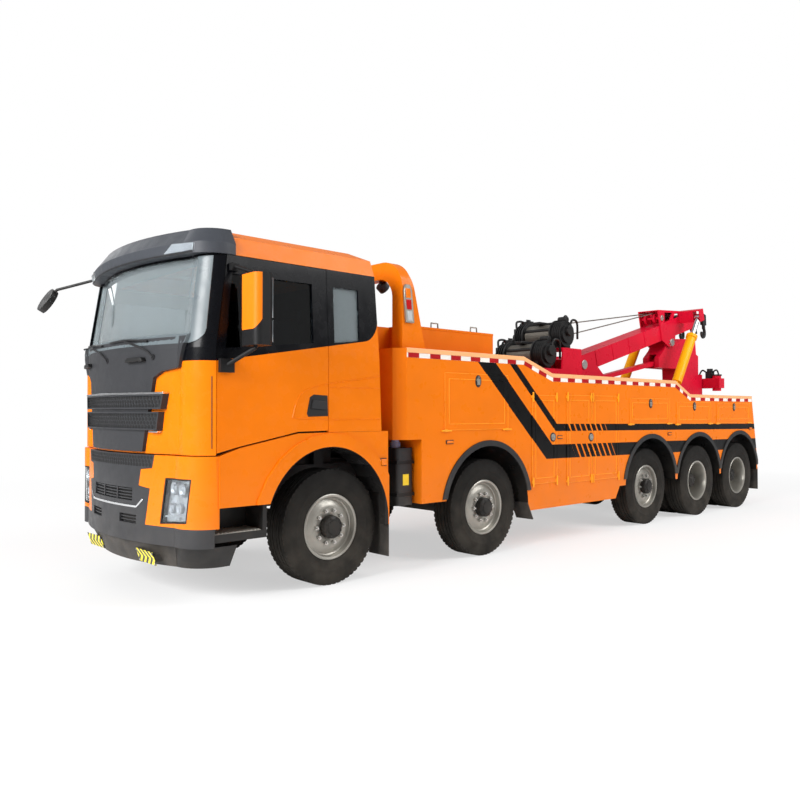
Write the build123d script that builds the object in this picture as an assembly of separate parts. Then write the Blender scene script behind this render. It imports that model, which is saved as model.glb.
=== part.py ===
from build123d import *
from math import atan2, cos, degrees, hypot, radians, sin
import os

# Five-axle heavy recovery truck. Millimetres, +X forward, +Y left, +Z up, ground at z = 0.
# X is measured from the front axle while modelling, and every node is moved to mid-length at the end.

# Overall reach from the front axle, to the front mirror and to the crossbar's rear face.
REACH_FRONT = 1750
REACH_REAR = 9600
AXLE_1_X = (REACH_REAR - REACH_FRONT) / 2

# Running gear
WHEEL_Z = 530
TYRE_R = 530
TYRE_WIDTH = 300
TREAD_WIDTH = 236
BEAD_R = 286
BEAD_WIDTH = 210
BEAD_FIT = 0.3
FLANGE_R = 300
RIM_WALL = 22
SINGLE_Y = 1005
DUAL_OUTER_Y = 1060
DUAL_INNER_Y = 720
SPINDLE_R = 40
DRIVE_SPINDLE_R = 55
SHAFT_FIT = 0.05
KINGPIN_Y = 820
KINGPIN_R = 22
KNUCKLE_GAP = 5
BEAM_WIDTH = 100
# name, distance behind the front axle, kind of wheel
AXLES = [
    ("1", 0, "steer"),
    ("2", 2114, "steer"),
    ("3", 5564, "lift"),
    ("4", 6978, "drive"),
    ("5", 8376, "drive"),
]

# Chassis
RAIL_OUTER_Y = 425
RAIL_FLANGE = 80
RAIL_WALL = 10
RAIL_BOTTOM = 750
RAIL_TOP = 1050
RAIL_FRONT = 1250
RAIL_REAR = -8950
CROSSMEMBERS = (1150, -1650, -3300, -4700, -6270, -7677, -8250)
SPRING_Y = 430
SPRING_WIDTH = 90

# Cab: each row is one level of the outer skin
# z, half width, rear wall, front centre, start of corner, end of corner
CAB_SECTIONS = [
    (1235, 1245, -522, 1555, 1235, 930),
    (2100, 1245, -488, 1555, 1235, 950),
    (2870, 1205, -458, 1440, 1120, 930),
]
ROOF_SECTIONS = [
    (2870, 1205, -458, 1440, 1120, 930),
    (3020, 1165, -440, 1420, 1100, 900),
    (3100, 1000, -300, 1290, 1060, 800),
]
VISOR_SECTIONS = [
    (2870, 1212, -458, 1530, 1090, 960),
    (2960, 1212, -458, 1540, 1090, 960),
    (3090, 1130, -458, 1450, 1060, 900),
]
SKIRT_SECTIONS = [
    (490, 1235, -522, 1590, 1200, 930),
    (1230, 1239, -522, 1585, 1230, 930),
]
SKID_SECTIONS = [
    (300, 1060, 400, 1500, 1040, 800),
    (490, 1180, 400, 1560, 1160, 900),
]
CAB_BULGE = 160
CAB_WALL = 60
CAB_FLOOR_Z = 1420
CAB_FLOOR_THICK = 50
VISOR_REAR = 1040
DOOR_GAP = 5
DOOR_FRONT = 1232
DOOR_REAR = 112
GLASS_INSET = 20
GLASS_THICK = 8
GLASS_FIT = 0.3

# Recovery body
BODY_Y = 1244
BODY_INNER_Y = 620
BODY_FRONT = -747
BODY_REAR = -9045
BODY_BOTTOM = 443
ARCH_R = 680
ARCH_SHIFT = 40
LIP_WIDTH = 62
LIP_PROUD = 14
LOCKER_PROUD = 6
BODY_CHAMFER = 100
FLAP_THICK = 12
DECK_Z = 1300
DECK_THICK = 50
DECK_REAR = -8200
BODY_TOP_FRONT = 2212

# Recovery boom, in side view: x behind the front axle and z above ground
BOOM_PIVOT = (-5400, 2280)
BOOM_ANGLE = 15
BOOM_WIDTH = 340
BOOM_HEIGHT = 260
BOOM_WALL = 30
BOOM_LENGTH = 3650
TIP_GAP = 5
MAST_PIN_ALONG = BOOM_LENGTH - 900
MAST_PIN_BELOW = 220
LINK_PIN = (-7900, 2430)
PIN_R = 30
CYLINDER_BASE = (-7600, 1950)
CYLINDER_Y = 500
CYLINDER_EYE_ALONG = BOOM_LENGTH - 461
CYLINDER_EYE_ABOVE = 118
BARREL_R = 80
ROD_R = 42
FOLD_PIN = (-9300, 850)
CROSSBAR_Z = 2100


def block(x, y, z):
    """A box between (low, high) pairs."""
    size = Box(x[1] - x[0], y[1] - y[0], z[1] - z[0])
    return Pos(sum(x) / 2, sum(y) / 2, sum(z) / 2) * size


def plate_xz(points, y, gap=0):
    """A side-view outline between two y values, drawn in by a gap."""
    face = make_face(Plane.XZ * Polyline(*points, close=True))
    if gap:
        face = offset(face, -gap, kind=Kind.INTERSECTION)
    return Pos(0, y[1], 0) * extrude(face, y[1] - y[0], dir=(0, -1, 0))


def plate_yz(points, x, gap=0):
    """A front-view outline between two x values, drawn in by a gap."""
    face = make_face(Plane.YZ * Polyline(*points, close=True))
    if gap:
        face = offset(face, -gap, kind=Kind.INTERSECTION)
    return Pos(x[0], 0, 0) * extrude(face, x[1] - x[0], dir=(1, 0, 0))


def drum_y(x, z, radius, y):
    turned = Rot(90, 0, 0) * Cylinder(radius, y[1] - y[0])
    return Pos(x, sum(y) / 2, z) * turned


def drum_x(y, z, radius, x):
    turned = Rot(0, 90, 0) * Cylinder(radius, x[1] - x[0])
    return Pos(sum(x) / 2, y, z) * turned


def drum_z(x, y, radius, z):
    return Pos(x, y, sum(z) / 2) * Cylinder(radius, z[1] - z[0])


def rod(start, end, radius):
    """A round bar from point to point."""
    line = Vector(*end) - Vector(*start)
    place = Plane(origin=start, z_dir=line)
    return place * Pos(0, 0, line.length / 2) * Cylinder(radius, line.length)


def turned_y(profile, x, z):
    """A ring turned about a wheel's axis from (radius, y) points."""
    face = make_face(Polyline(*profile, close=True))
    return Pos(x, 0, z) * revolve(face, Axis.Y)


def right_of(solid):
    """The same piece on the other side."""
    return mirror(solid, Plane.XZ)


def pair(solid):
    return [solid, right_of(solid)]


nodes = {}

# Wheels: a tyre and a rim with its hub on each of the ten wheel bodies.


def tyre(x, y):
    half = [(BEAD_R + BEAD_FIT, BEAD_WIDTH / 2), (TYRE_R - 120, TYRE_WIDTH / 2), (TYRE_R, TREAD_WIDTH / 2)]
    profile = [(r, y - w) for r, w in half] + [(r, y + w) for r, w in reversed(half)]
    return turned_y(profile, x, WHEEL_Z)


def single_rim(x):
    y, bore = SINGLE_Y, SPINDLE_R + SHAFT_FIT
    profile = [
        (bore, y - 70), (bore, y + 150), (0, y + 150), (0, y + 190), (108, y + 178), (112, y + 100),
        (BEAD_R - 18, y + 84), (BEAD_R - 12, y + 128), (FLANGE_R, y + 128), (BEAD_R, y + 108),
        (BEAD_R, y - 108), (FLANGE_R, y - 125), (BEAD_R - RIM_WALL, y - 125),
        (BEAD_R - RIM_WALL, y + 68), (100, y + 84), (100, y - 70),
    ]
    return turned_y(profile, x, WHEEL_Z)


def dual_rim(x):
    outer, inner, disc, bore = DUAL_OUTER_Y, DUAL_INNER_Y, 890, DRIVE_SPINDLE_R + SHAFT_FIT
    profile = [
        (bore, inner - 30), (bore, outer), (0, outer), (0, outer + 58), (100, outer + 50),
        (122, disc + 15), (BEAD_R - 24, disc + 15), (BEAD_R - 16, outer + 128), (FLANGE_R, outer + 128),
        (BEAD_R, outer + 108), (BEAD_R, inner - 108), (FLANGE_R, inner - 125),
        (BEAD_R - RIM_WALL, inner - 125), (BEAD_R - RIM_WALL, disc - 10), (122, disc - 10), (122, inner - 30),
    ]
    return turned_y(profile, x, WHEEL_Z)


def knuckle(x):
    """The yoke on its kingpin, with the spindle that carries the hub."""
    wide, y_in, y_out = 55, KINGPIN_Y - 55, KINGPIN_Y + 85
    low, high = 70 + KNUCKLE_GAP, 115
    yoke = block((x - wide, x + wide), (y_in, y_out), (WHEEL_Z + low, WHEEL_Z + high))
    yoke += block((x - wide, x + wide), (y_in, y_out), (WHEEL_Z - high, WHEEL_Z - low))
    yoke += block((x - wide, x + wide), (y_out - 25, y_out), (WHEEL_Z - high, WHEEL_Z + high))
    yoke -= drum_z(x, KINGPIN_Y, KINGPIN_R + SHAFT_FIT, (WHEEL_Z - high - 1, WHEEL_Z + high + 1))
    return yoke + drum_y(x, WHEEL_Z, SPINDLE_R, (y_out - 5, SINGLE_Y + 145))


for name, behind, kind in AXLES:
    x = -behind
    if kind == "drive":
        rubber = tyre(x, DUAL_OUTER_Y) + tyre(x, DUAL_INNER_Y)
        rim = dual_rim(x)
    else:
        rubber = tyre(x, SINGLE_Y)
        rim = single_rim(x)
    nodes[f"tyre_{name}_left"] = rubber
    nodes[f"tyre_{name}_right"] = right_of(rubber)
    nodes[f"rim_{name}_left"] = rim
    nodes[f"rim_{name}_right"] = right_of(rim)
    if kind == "steer":
        nodes[f"knuckle_{name}_left"] = knuckle(x)
        nodes[f"knuckle_{name}_right"] = right_of(knuckle(x))

# Chassis: two channel rails with crossmembers, drop beams in front, driven axles behind, leaf springs.

rail_section = [
    (RAIL_OUTER_Y, RAIL_BOTTOM), (RAIL_OUTER_Y, RAIL_TOP),
    (RAIL_OUTER_Y - RAIL_FLANGE, RAIL_TOP), (RAIL_OUTER_Y - RAIL_FLANGE, RAIL_TOP - RAIL_WALL),
    (RAIL_OUTER_Y - RAIL_WALL, RAIL_TOP - RAIL_WALL), (RAIL_OUTER_Y - RAIL_WALL, RAIL_BOTTOM + RAIL_WALL),
    (RAIL_OUTER_Y - RAIL_FLANGE, RAIL_BOTTOM + RAIL_WALL), (RAIL_OUTER_Y - RAIL_FLANGE, RAIL_BOTTOM),
]
rail = plate_yz(rail_section, (RAIL_REAR, RAIL_FRONT))
frame = rail + right_of(rail)
for x in CROSSMEMBERS:
    web = RAIL_OUTER_Y - RAIL_WALL
    frame += block((x - 50, x + 50), (-web, web), (RAIL_TOP - 150, RAIL_TOP - RAIL_WALL))
nodes["chassis_frame"] = frame


def drop_beam(x):
    end, seat, drop = KINGPIN_Y - 30, 600, 480
    top = [(-end, 585), (-seat, 580), (-drop, 530), (drop, 530), (seat, 580), (end, 585)]
    low = [(end, 475), (seat, 470), (drop, 420), (-drop, 420), (-seat, 470), (-end, 475)]
    return plate_yz(top + low, (x - BEAM_WIDTH / 2, x + BEAM_WIDTH / 2))


def steer_beam(x):
    beam = drop_beam(x)
    for y in (KINGPIN_Y, -KINGPIN_Y):
        beam += drum_z(x, y, 50, (WHEEL_Z - 70, WHEEL_Z + 70))
        beam += drum_z(x, y, KINGPIN_R, (WHEEL_Z - 120, WHEEL_Z + 120))
    return beam


def lift_beam(x):
    reach = SINGLE_Y + 145
    beam = drop_beam(x)
    for side in (1, -1):
        y = sorted((side * 780, side * reach))
        beam += drum_y(x, WHEEL_Z, SPINDLE_R, y)
    return beam


def drive_axle(x):
    reach = DUAL_OUTER_Y - 10
    housing = drum_y(x, WHEEL_Z, DRIVE_SPINDLE_R, (-reach, reach))
    housing += drum_y(x, WHEEL_Z, 90, (-(DUAL_INNER_Y - 40), DUAL_INNER_Y - 40))
    housing += Pos(x, 0, WHEEL_Z) * Rot(0, 90, 0) * Cylinder(200, 260)
    for y in (SPRING_Y, -SPRING_Y):
        housing += block((x - 70, x + 70), (y - 45, y + 45), (WHEEL_Z, WHEEL_Z + 90))
    return housing


axle_x = {name: -behind for name, behind, kind in AXLES}
GEARBOX_REAR = -1500
bogie = drive_axle(axle_x["4"]) + drive_axle(axle_x["5"])
bogie += rod((axle_x["5"], 0, WHEEL_Z + 60), (axle_x["4"], 0, WHEEL_Z + 60), 60)
bogie += rod((axle_x["4"], 0, WHEEL_Z + 60), (GEARBOX_REAR - 4, 0, 800), 60)
nodes["axles"] = [steer_beam(axle_x["1"]), steer_beam(axle_x["2"]), lift_beam(axle_x["3"]), bogie]


def leaf_pack(x, points):
    low_y, high_y = SPRING_Y - SPRING_WIDTH / 2, SPRING_Y + SPRING_WIDTH / 2
    return plate_xz([(x + dx, z) for dx, z in points], (low_y, high_y))


PACK = [
    (-850, 715), (-850, 750), (-770, 750), (0, 612), (770, 750), (850, 750), (850, 715),
    (520, 640), (400, 585), (150, 530), (-150, 530), (-400, 585), (-520, 640),
]
BOGIE_PACK = [
    (-790, 620), (-790, 652), (-300, 722), (-150, 750), (150, 750), (300, 722), (790, 652), (790, 620),
    (600, 620), (250, 672), (-250, 672), (-600, 620),
]
springs = []
for name in ("1", "2", "3"):
    springs += pair(leaf_pack(axle_x[name], PACK))
springs += pair(leaf_pack((axle_x["4"] + axle_x["5"]) / 2, BOGIE_PACK))
nodes["leaf_springs"] = springs

# Engine and gearbox: one plain block on feet that reach the rails' webs.

engine = block((-600, 900), (-340, 340), (660, 1400))
engine += block((GEARBOX_REAR, -600), (-220, 220), (690, 1080))
for x in (-400, 700):
    engine += block((x - 60, x + 60), (-(RAIL_OUTER_Y - RAIL_WALL), RAIL_OUTER_Y - RAIL_WALL), (800, 860))
nodes["engine_gearbox"] = engine

# Cab: a lofted skin, split into front, doors, rear shell and roof, each as thick as the wall.


def outline(inset, z, half_width, rear, front, corner_x, corner_y):
    w = half_width - inset
    back = rear + inset
    nose = front - inset
    start_x = corner_x - 0.3 * inset
    end_y = corner_y - 0.4 * inset
    side_x = nose - CAB_BULGE
    mid_x = start_x + 0.72 * (side_x - start_x)
    mid_y = end_y + 0.72 * (w - end_y)
    edges = [
        Line((back, -w, z), (start_x, -w, z)),
        ThreePointArc((start_x, -w, z), (mid_x, -mid_y, z), (side_x, -end_y, z)),
        ThreePointArc((side_x, -end_y, z), (nose, 0, z), (side_x, end_y, z)),
        ThreePointArc((side_x, end_y, z), (mid_x, mid_y, z), (start_x, w, z)),
        Line((start_x, w, z), (back, w, z)),
        Line((back, w, z), (back, -w, z)),
    ]
    return Wire(edges)


def lofted(rows, inset=0):
    return Solid.make_loft([outline(inset, *row) for row in rows], ruled=True)


cab_outer = lofted(CAB_SECTIONS)
cab_inner = lofted(CAB_SECTIONS, CAB_WALL)
cab_skin = cab_outer - cab_inner
glass_skin = lofted(CAB_SECTIONS, GLASS_INSET) - lofted(CAB_SECTIONS, GLASS_INSET + GLASS_THICK)

CAB_TOP = CAB_SECTIONS[-1][0]
CAB_BASE = CAB_SECTIONS[0][0]
BELT_Z = CAB_SECTIONS[1][0]
PILLAR_TOP_X = CAB_SECTIONS[2][4]
DOOR_TOP = CAB_TOP - DOOR_GAP
CAB_LOW = 1400
# The door's lower edge climbs over the front wheel.
DOOR_SILL = [(DOOR_REAR, 1410), (440, 1405), (1016, 1295), (DOOR_FRONT, 1245)]
DOOR_OPENING = DOOR_SILL + [(DOOR_FRONT, BELT_Z), (PILLAR_TOP_X, CAB_TOP), (DOOR_REAR, CAB_TOP)]
DOOR_WINDOW = [(277, 2190), (1150, 2100), (1075, 2715), (277, 2715)]
QUARTER_WINDOW = [(-250, 2240), (43, 2205), (43, 2715), (-250, 2715)]
WINDSCREEN = [(-1085, 2215), (1085, 2215), (1045, 2850), (-1045, 2850)]
DEEP = (900, 1300)

front_view = [
    (DOOR_FRONT, CAB_BASE), (DOOR_FRONT, BELT_Z), (PILLAR_TOP_X, CAB_TOP), (1700, CAB_TOP), (1700, CAB_BASE),
]
front_region = plate_xz(front_view, (-1400, 1400))
cab_front = (cab_skin & front_region) - plate_yz(WINDSCREEN, (900, 1700))
nodes["cab_front"] = cab_front

rear_region = block((-700, DOOR_REAR), (-1400, 1400), (CAB_LOW, CAB_TOP))
rear_shell = cab_skin & rear_region
quarter = plate_xz(QUARTER_WINDOW, DEEP)
rear_shell -= quarter + right_of(quarter)
nodes["cab_rear_shell"] = rear_shell

roof_room = lofted(ROOF_SECTIONS, CAB_WALL) - block((-700, 1700), (-1400, 1400), (3040, 3200))
roof = (lofted(ROOF_SECTIONS) - roof_room) & block((-700, VISOR_REAR), (-1400, 1400), (CAB_TOP, 3200))
nodes["cab_roof"] = roof

door_leaf = cab_skin & plate_xz(DOOR_OPENING, DEEP, DOOR_GAP)
door = door_leaf - plate_xz(DOOR_WINDOW, DEEP)
nodes["door_left"] = door
nodes["door_right"] = right_of(door)
door_glass = glass_skin & plate_xz(DOOR_WINDOW, DEEP, GLASS_FIT)
nodes["door_glass_left"] = door_glass
nodes["door_glass_right"] = right_of(door_glass)

screen = glass_skin & plate_yz(WINDSCREEN, (900, 1700), GLASS_FIT)
quarter_glass = glass_skin & plate_xz(QUARTER_WINDOW, DEEP, GLASS_FIT)
nodes["cab_windows"] = [screen] + pair(quarter_glass)

floor_top = CAB_FLOOR_Z + CAB_FLOOR_THICK
floor = cab_inner & block((-700, 1700), (-1400, 1400), (CAB_FLOOR_Z, floor_top))
sill = CAB_SECTIONS[0][1] - CAB_WALL - DOOR_GAP
for side in (1, -1):
    strip = sorted((side * sill, side * 1400))
    floor -= block((DOOR_REAR - DOOR_GAP, DOOR_FRONT + DOOR_GAP), strip, (CAB_FLOOR_Z, floor_top))
for x in (-380, 1080):
    for side in (1, -1):
        y = sorted((side * (RAIL_OUTER_Y - RAIL_FLANGE), side * RAIL_OUTER_Y))
        floor += block((x - 60, x + 60), y, (RAIL_TOP, CAB_FLOOR_Z))
nodes["cab_floor"] = floor

# Inside the cab: seats, a bunk and a dashboard with its steering wheel, all standing on the floor.


def seat(y):
    shape = [(150, 0), (620, 0), (650, 420), (230, 450), (130, 1080), (20, 1080), (110, 420)]
    return plate_xz([(x, z + floor_top) for x, z in shape], (y - 260, y + 260))


dash_shape = [(1290, 0), (1300, 620), (1050, 660), (960, 560), (1020, 420), (1190, 330), (1200, 0)]
dash = plate_xz([(x, z + floor_top) for x, z in dash_shape], (-950, 950))
WHEEL_CENTRE = (820, 620, 2130)
dash += rod(WHEEL_CENTRE, (1040, 620, 1960), 35)
STEER_RING_R = 233
STEER_GRIP = 34
ring = Cylinder(STEER_RING_R, STEER_GRIP) - Cylinder(STEER_RING_R - STEER_GRIP, STEER_GRIP)
dash += Pos(*WHEEL_CENTRE) * Rot(0, -52, 0) * (ring + Box(2 * STEER_RING_R - STEER_GRIP, 40, 24))
bunk = block((-420, -30), (-1080, 1080), (floor_top, floor_top + 420))
nodes["cab_interior"] = [dash, seat(620), seat(-620), bunk]

# Mirrors on the doors: a tall housing on two arms.

MIRROR_OUT = 355
MIRROR_REACH = CAB_SECTIONS[0][1] + MIRROR_OUT
housing = block((920, 1085), (MIRROR_REACH - 255, MIRROR_REACH), (2110, 2680))
housing = fillet(housing.edges().filter_by(Axis.Z), 55)
MIRROR_Y = MIRROR_REACH - 128
mirror_arms = rod((1065, 1225, 2775), (1010, MIRROR_Y, 2690), 16)
mirror_arms += rod((1010, MIRROR_Y, 2090), (1010, MIRROR_Y, 2700), 16)
mirror_arms += rod((1150, 1270, 1960), (1010, MIRROR_Y, 2095), 18)
foot = block((1090, 1215), (1245, 1285), (1900, 2010)) + block((1030, 1100), (1206, 1250), (2735, 2795))
mirror_left = (housing + mirror_arms + foot) - door_leaf - plate_xz(DOOR_WINDOW, (1100, 1243))
nodes["mirror_left"] = mirror_left
nodes["mirror_right"] = right_of(mirror_left)

# Front: visor with the long-armed mirror, grille panel, bumper with the steps, corner panels with fenders.

visor = lofted(VISOR_SECTIONS) & block((VISOR_REAR, 1700), (-1400, 1400), (CAB_TOP, 3200))
DISC_R = 130
DISC_THICK = 60
DISC_TILT = 30
disc_reach = DISC_THICK / 2 * cos(radians(DISC_TILT)) + DISC_R * sin(radians(DISC_TILT))
disc_at = (REACH_FRONT - disc_reach, -1455, 2715)
elbow = (disc_at[0] - 60, disc_at[1] + 90, disc_at[2] + 110)
visor += rod((1300, -1080, 2930), elbow, 14) + Pos(*elbow) * Sphere(14) + rod(elbow, disc_at, 14)
visor += Pos(*disc_at) * Rot(0, 90 - DISC_TILT, 0) * Cylinder(DISC_R, DISC_THICK)
nodes["roof_visor"] = visor

GRILLE_PROUD = 30
half_grille = [(540, 1250), (575, 1410), (664, 1770), (685, 1865), (780, 1915), (985, 1945), (1085, 2195)]
grille_outline = half_grille + [(-y, z) for y, z in reversed(half_grille)]
grille = lofted(CAB_SECTIONS[:2] + [(2250, 1238, -488, 1540, 1220, 945)], -GRILLE_PROUD)
grille = (grille - lofted(CAB_SECTIONS, -BEAD_FIT)) & plate_yz(grille_outline, (1150, 1700))
# Two wide air intakes stand proud of the panel, each with a sunk face for its mesh.
BAR_PROUD = 52
BAR_EDGE = 14
MESH_DEEP = 16
# lower edge, upper edge, half width below, half width above
INTAKES = [
    (1430, 1583, 755, 778),
    (1606, 1730, 800, 830),
]
for low, high, narrow, wide in INTAKES:
    levels = [(low, *CAB_SECTIONS[0][1:]), (high, *CAB_SECTIONS[0][1:])]
    shape = [(narrow, low), (wide, high), (-wide, high), (-narrow, low)]
    bar = lofted(levels, -BAR_PROUD) - lofted(CAB_SECTIONS, -BEAD_FIT)
    sunk = lofted(levels, -BAR_PROUD - MESH_DEEP) - lofted(levels, MESH_DEEP - BAR_PROUD)
    sunk &= plate_yz(shape, (1150, 1700), BAR_EDGE)
    grille += (bar & plate_yz(shape, (1150, 1700))) - sunk

# Bumper: a wrap-round skirt, a centre panel that rises to the grille, the skid below and the entry steps.
SKIRT_WALL = 80
BUMPER_TOP = 645
BUMPER_END = DOOR_FRONT
skirt = lofted(SKIRT_SECTIONS) - lofted(SKIRT_SECTIONS, SKIRT_WALL)
bumper = skirt & block((BUMPER_END, 1700), (-1400, 1400), (SKIRT_SECTIONS[0][0], BUMPER_TOP))
half_centre = [(588, BUMPER_TOP), (643, 946), (497, 964), (525, 1105), (670, 1117), (697, 1226)]
centre_outline = half_centre + [(-y, z) for y, z in reversed(half_centre)]
bumper += skirt & plate_yz(centre_outline, (1000, 1700))
POCKET_DEEP = 35
pocket_skin = lofted(SKIRT_SECTIONS, -POCKET_DEEP) - lofted(SKIRT_SECTIONS, POCKET_DEEP)
for y, z in (((200, 465), (640, 714)), ((-465, -200), (640, 714)), ((-405, 405), (831, 938))):
    bumper -= pocket_skin & block((1000, 1700), y, z)
skid = lofted(SKID_SECTIONS) - lofted(SKID_SECTIONS, 120)
bumper += skid & block((1000, 1700), (-1400, 1400), (SKID_SECTIONS[0][0], SKID_SECTIONS[1][0]))
STEP_Y = (900, 1215)
STEP_WALL = 40
STEP_TOP = 805
STEP_Z = (530, 595)
STEP_X = (740, BUMPER_END + 30)
for side in (1, -1):
    tread = sorted((side * STEP_Y[0], side * STEP_Y[1]))
    wall = sorted((side * STEP_Y[0], side * (STEP_Y[0] + STEP_WALL)))
    bumper += block(STEP_X, tread, STEP_Z) + block(STEP_X, wall, (STEP_Z[0], STEP_TOP))
    bumper += block((STEP_X[0], STEP_X[0] + STEP_WALL), tread, (STEP_Z[0], STEP_TOP))
    bracket = sorted((side * (RAIL_OUTER_Y - 60), side * RAIL_OUTER_Y))
    bumper += block((RAIL_FRONT, 1500), bracket, (RAIL_BOTTOM, RAIL_BOTTOM + 150))
nodes["front_trim"] = [grille, bumper]

PANEL_IN = CAB_SECTIONS[0][1] - CAB_WALL
PANEL_OUT = CAB_SECTIONS[0][1]
PANEL_LOW = STEP_TOP + DOOR_GAP
FENDER_CENTRE = (93, 560)
FENDER_HALF = (682, 708)


def arch_prism(grow, y):
    """The front wheel's opening in side view, grown outwards, between two y values."""
    arc = []
    for turn in range(20, 161, 14):
        x = FENDER_CENTRE[0] + (FENDER_HALF[0] + grow) * cos(radians(turn))
        z = FENDER_CENTRE[1] + (FENDER_HALF[1] + grow) * sin(radians(turn))
        arc.append((x, z))
    foot = 480
    return plate_xz([(arc[0][0], foot)] + arc + [(arc[-1][0], foot)], y)


LINER = 14
FLARE_WIDTH = 125
FLARE_PROUD = 17
PANEL_REAR = -600
side_panel = [
    (PANEL_REAR, 510), (PANEL_REAR, CAB_LOW - 2), (DOOR_REAR, CAB_LOW - 2), (440, 1395), (1016, 1286),
    (1200, 1228), (1200, PANEL_LOW), (700, PANEL_LOW), (600, 510),
]
fender = plate_xz(side_panel, (PANEL_IN, PANEL_OUT))
fender += arch_prism(LINER, (950, PANEL_IN + 10)) & block((PANEL_REAR, 760), (900, 1400), (PANEL_LOW, 1500))
flare = arch_prism(FLARE_WIDTH, (PANEL_OUT - 5, PANEL_OUT + FLARE_PROUD))
flare_reach = [(PANEL_REAR, 510), (PANEL_REAR, 1500), (950, 1500), (950, PANEL_LOW), (0, PANEL_LOW), (0, 510)]
flare &= plate_xz(flare_reach, DEEP)
fender = (fender + flare) - arch_prism(0, (600, 1400))
corner = skirt & block((1195, 1700), (0, 1400), (BUMPER_TOP, 1226))
corner -= plate_yz(centre_outline, (1000, 1700), -2)
lamp_outline = [(768, 664), (825, 1045), (1130, 1045), (1090, 690)]
panel = (fender + corner) - plate_yz(lamp_outline, (1200, 1700))
nodes["cab_lower_panels"] = pair(panel)

# Recovery body: a solid locker block on each side with wheel arches cut, doors on it, and the deck between.

SLOPE_LOW = (-2800, BODY_BOTTOM)
SLOPE_TOP = (-2690, 662)
body_top = [
    (BODY_FRONT, BODY_TOP_FRONT), (-2678, BODY_TOP_FRONT), (-3224, 2035), (-6207, 2030),
    (-6659, 1838), (-8827, 1838),
]
body_low = [
    (BODY_REAR, 760), (BODY_REAR, 600), (-4700, 600), (-4600, BODY_BOTTOM), SLOPE_LOW,
    SLOPE_TOP, (-1050, 662), (-1050, 1305), (BODY_FRONT, 1305),
]
cabinet = plate_xz(body_top + body_low, (BODY_INNER_Y, BODY_Y))
front_edges = cabinet.edges().filter_by(Axis.Z).filter_by_position(Axis.X, BODY_FRONT - 1, BODY_FRONT + 1)
cabinet = chamfer(front_edges.sort_by(Axis.Y)[-1], BODY_CHAMFER)
for name in ("2", "3", "4", "5"):
    cabinet -= drum_y(axle_x[name] + ARCH_SHIFT, WHEEL_Z, ARCH_R, (500, 1300))
nodes["tool_cabinets"] = pair(cabinet)

# name, front edge, rear edge, lower edge, upper edge
LOCKERS = [
    ("flap_1", -1378, -2391, 1392, 1986),
    ("tall_1", -2830, -3307, 743, 1775),
    ("tall_2", -3510, -4040, 718, 1784),
    ("tall_3", -4056, -4670, 718, 1784),
    ("flap_2", -4951, -6031, 1416, 1764),
    ("flap_3", -6240, -7314, 1400, 1720),
    ("flap_4", -7523, -8740, 1400, 1714),
]
lockers = []
for name, front, rear, low, high in LOCKERS:
    lockers += pair(block((rear, front), (BODY_Y, BODY_Y + LOCKER_PROUD), (low, high)))
nodes["locker_doors"] = lockers


def arch_lip(names):
    lip = None
    for name in names:
        x = axle_x[name] + ARCH_SHIFT
        ring = drum_y(x, WHEEL_Z, ARCH_R + LIP_WIDTH, (BODY_Y, BODY_Y + LIP_PROUD))
        lip = ring if lip is None else lip + ring
    for name in names:
        lip -= drum_y(axle_x[name] + ARCH_SHIFT, WHEEL_Z, ARCH_R, (1200, 1300))
    return lip & block((BODY_REAR, 0), (1200, 1300), (680, 1400))


flap_1 = block((PANEL_REAR - FLAP_THICK, PANEL_REAR), (960, PANEL_OUT), (200, 900))
slope = Vector(SLOPE_TOP[0] - SLOPE_LOW[0], SLOPE_TOP[1] - SLOPE_LOW[1]).normalized()


def on_slope(along, ahead):
    """Side-view place of a point along the cabinet's sloped front edge and ahead of it."""
    x = SLOPE_LOW[0] + along * slope.X + ahead * slope.Y
    return (x, SLOPE_LOW[1] + along * slope.Y - ahead * slope.X)


flap_2_shape = [on_slope(110, 0), on_slope(-115, 0), on_slope(-115, FLAP_THICK), on_slope(110, FLAP_THICK)]
flap_2 = plate_xz(flap_2_shape, (1000, BODY_Y))
flap_5 = block((BODY_REAR - FLAP_THICK, BODY_REAR), (700, BODY_Y), (260, 630))
guards = []
for piece in (arch_lip(("2",)), arch_lip(("3", "4", "5")), flap_1, flap_2, flap_5):
    guards += pair(piece)
nodes["mudguards"] = guards

deck = block((DECK_REAR, -800), (-BODY_INNER_Y, BODY_INNER_Y), (DECK_Z - DECK_THICK, DECK_Z))
for side in (1, -1):
    y = sorted((side * (RAIL_OUTER_Y - RAIL_FLANGE), side * RAIL_OUTER_Y))
    deck += block((DECK_REAR, -900), y, (RAIL_TOP, DECK_Z - DECK_THICK))
FRONT_BOX_REAR = -2544
FRONT_BOX_TOP = 2485
deck += block((FRONT_BOX_REAR, -800), (-BODY_INNER_Y, BODY_INNER_Y), (DECK_Z, FRONT_BOX_TOP))
deck += block((FRONT_BOX_REAR, -1180), (-900, 900), (BODY_TOP_FRONT, FRONT_BOX_TOP))
nodes["body_deck"] = deck

# Lamp arch behind the cab: a hoop that stands on the lockers and leans back at its feet.

ARCH_FRONT = -855
ARCH_FOOT = -1174
ARCH_HEAD = -985
ARCH_HALF = 1170
ARCH_TOP = 3105
arch_rise = ARCH_TOP - BODY_TOP_FRONT
outer_corner, inner_corner = arch_rise * 300 / 893, arch_rise * 200 / 893


def hoop(half, top, corner, x):
    shape = Pos(0, (top + BODY_TOP_FRONT) / 2) * Rectangle(2 * half, top - BODY_TOP_FRONT)
    shape = fillet(shape.vertices().group_by(Axis.Y)[-1], corner)
    return Pos(x[0], 0, 0) * extrude(Plane.YZ * shape, x[1] - x[0], dir=(1, 0, 0))


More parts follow.
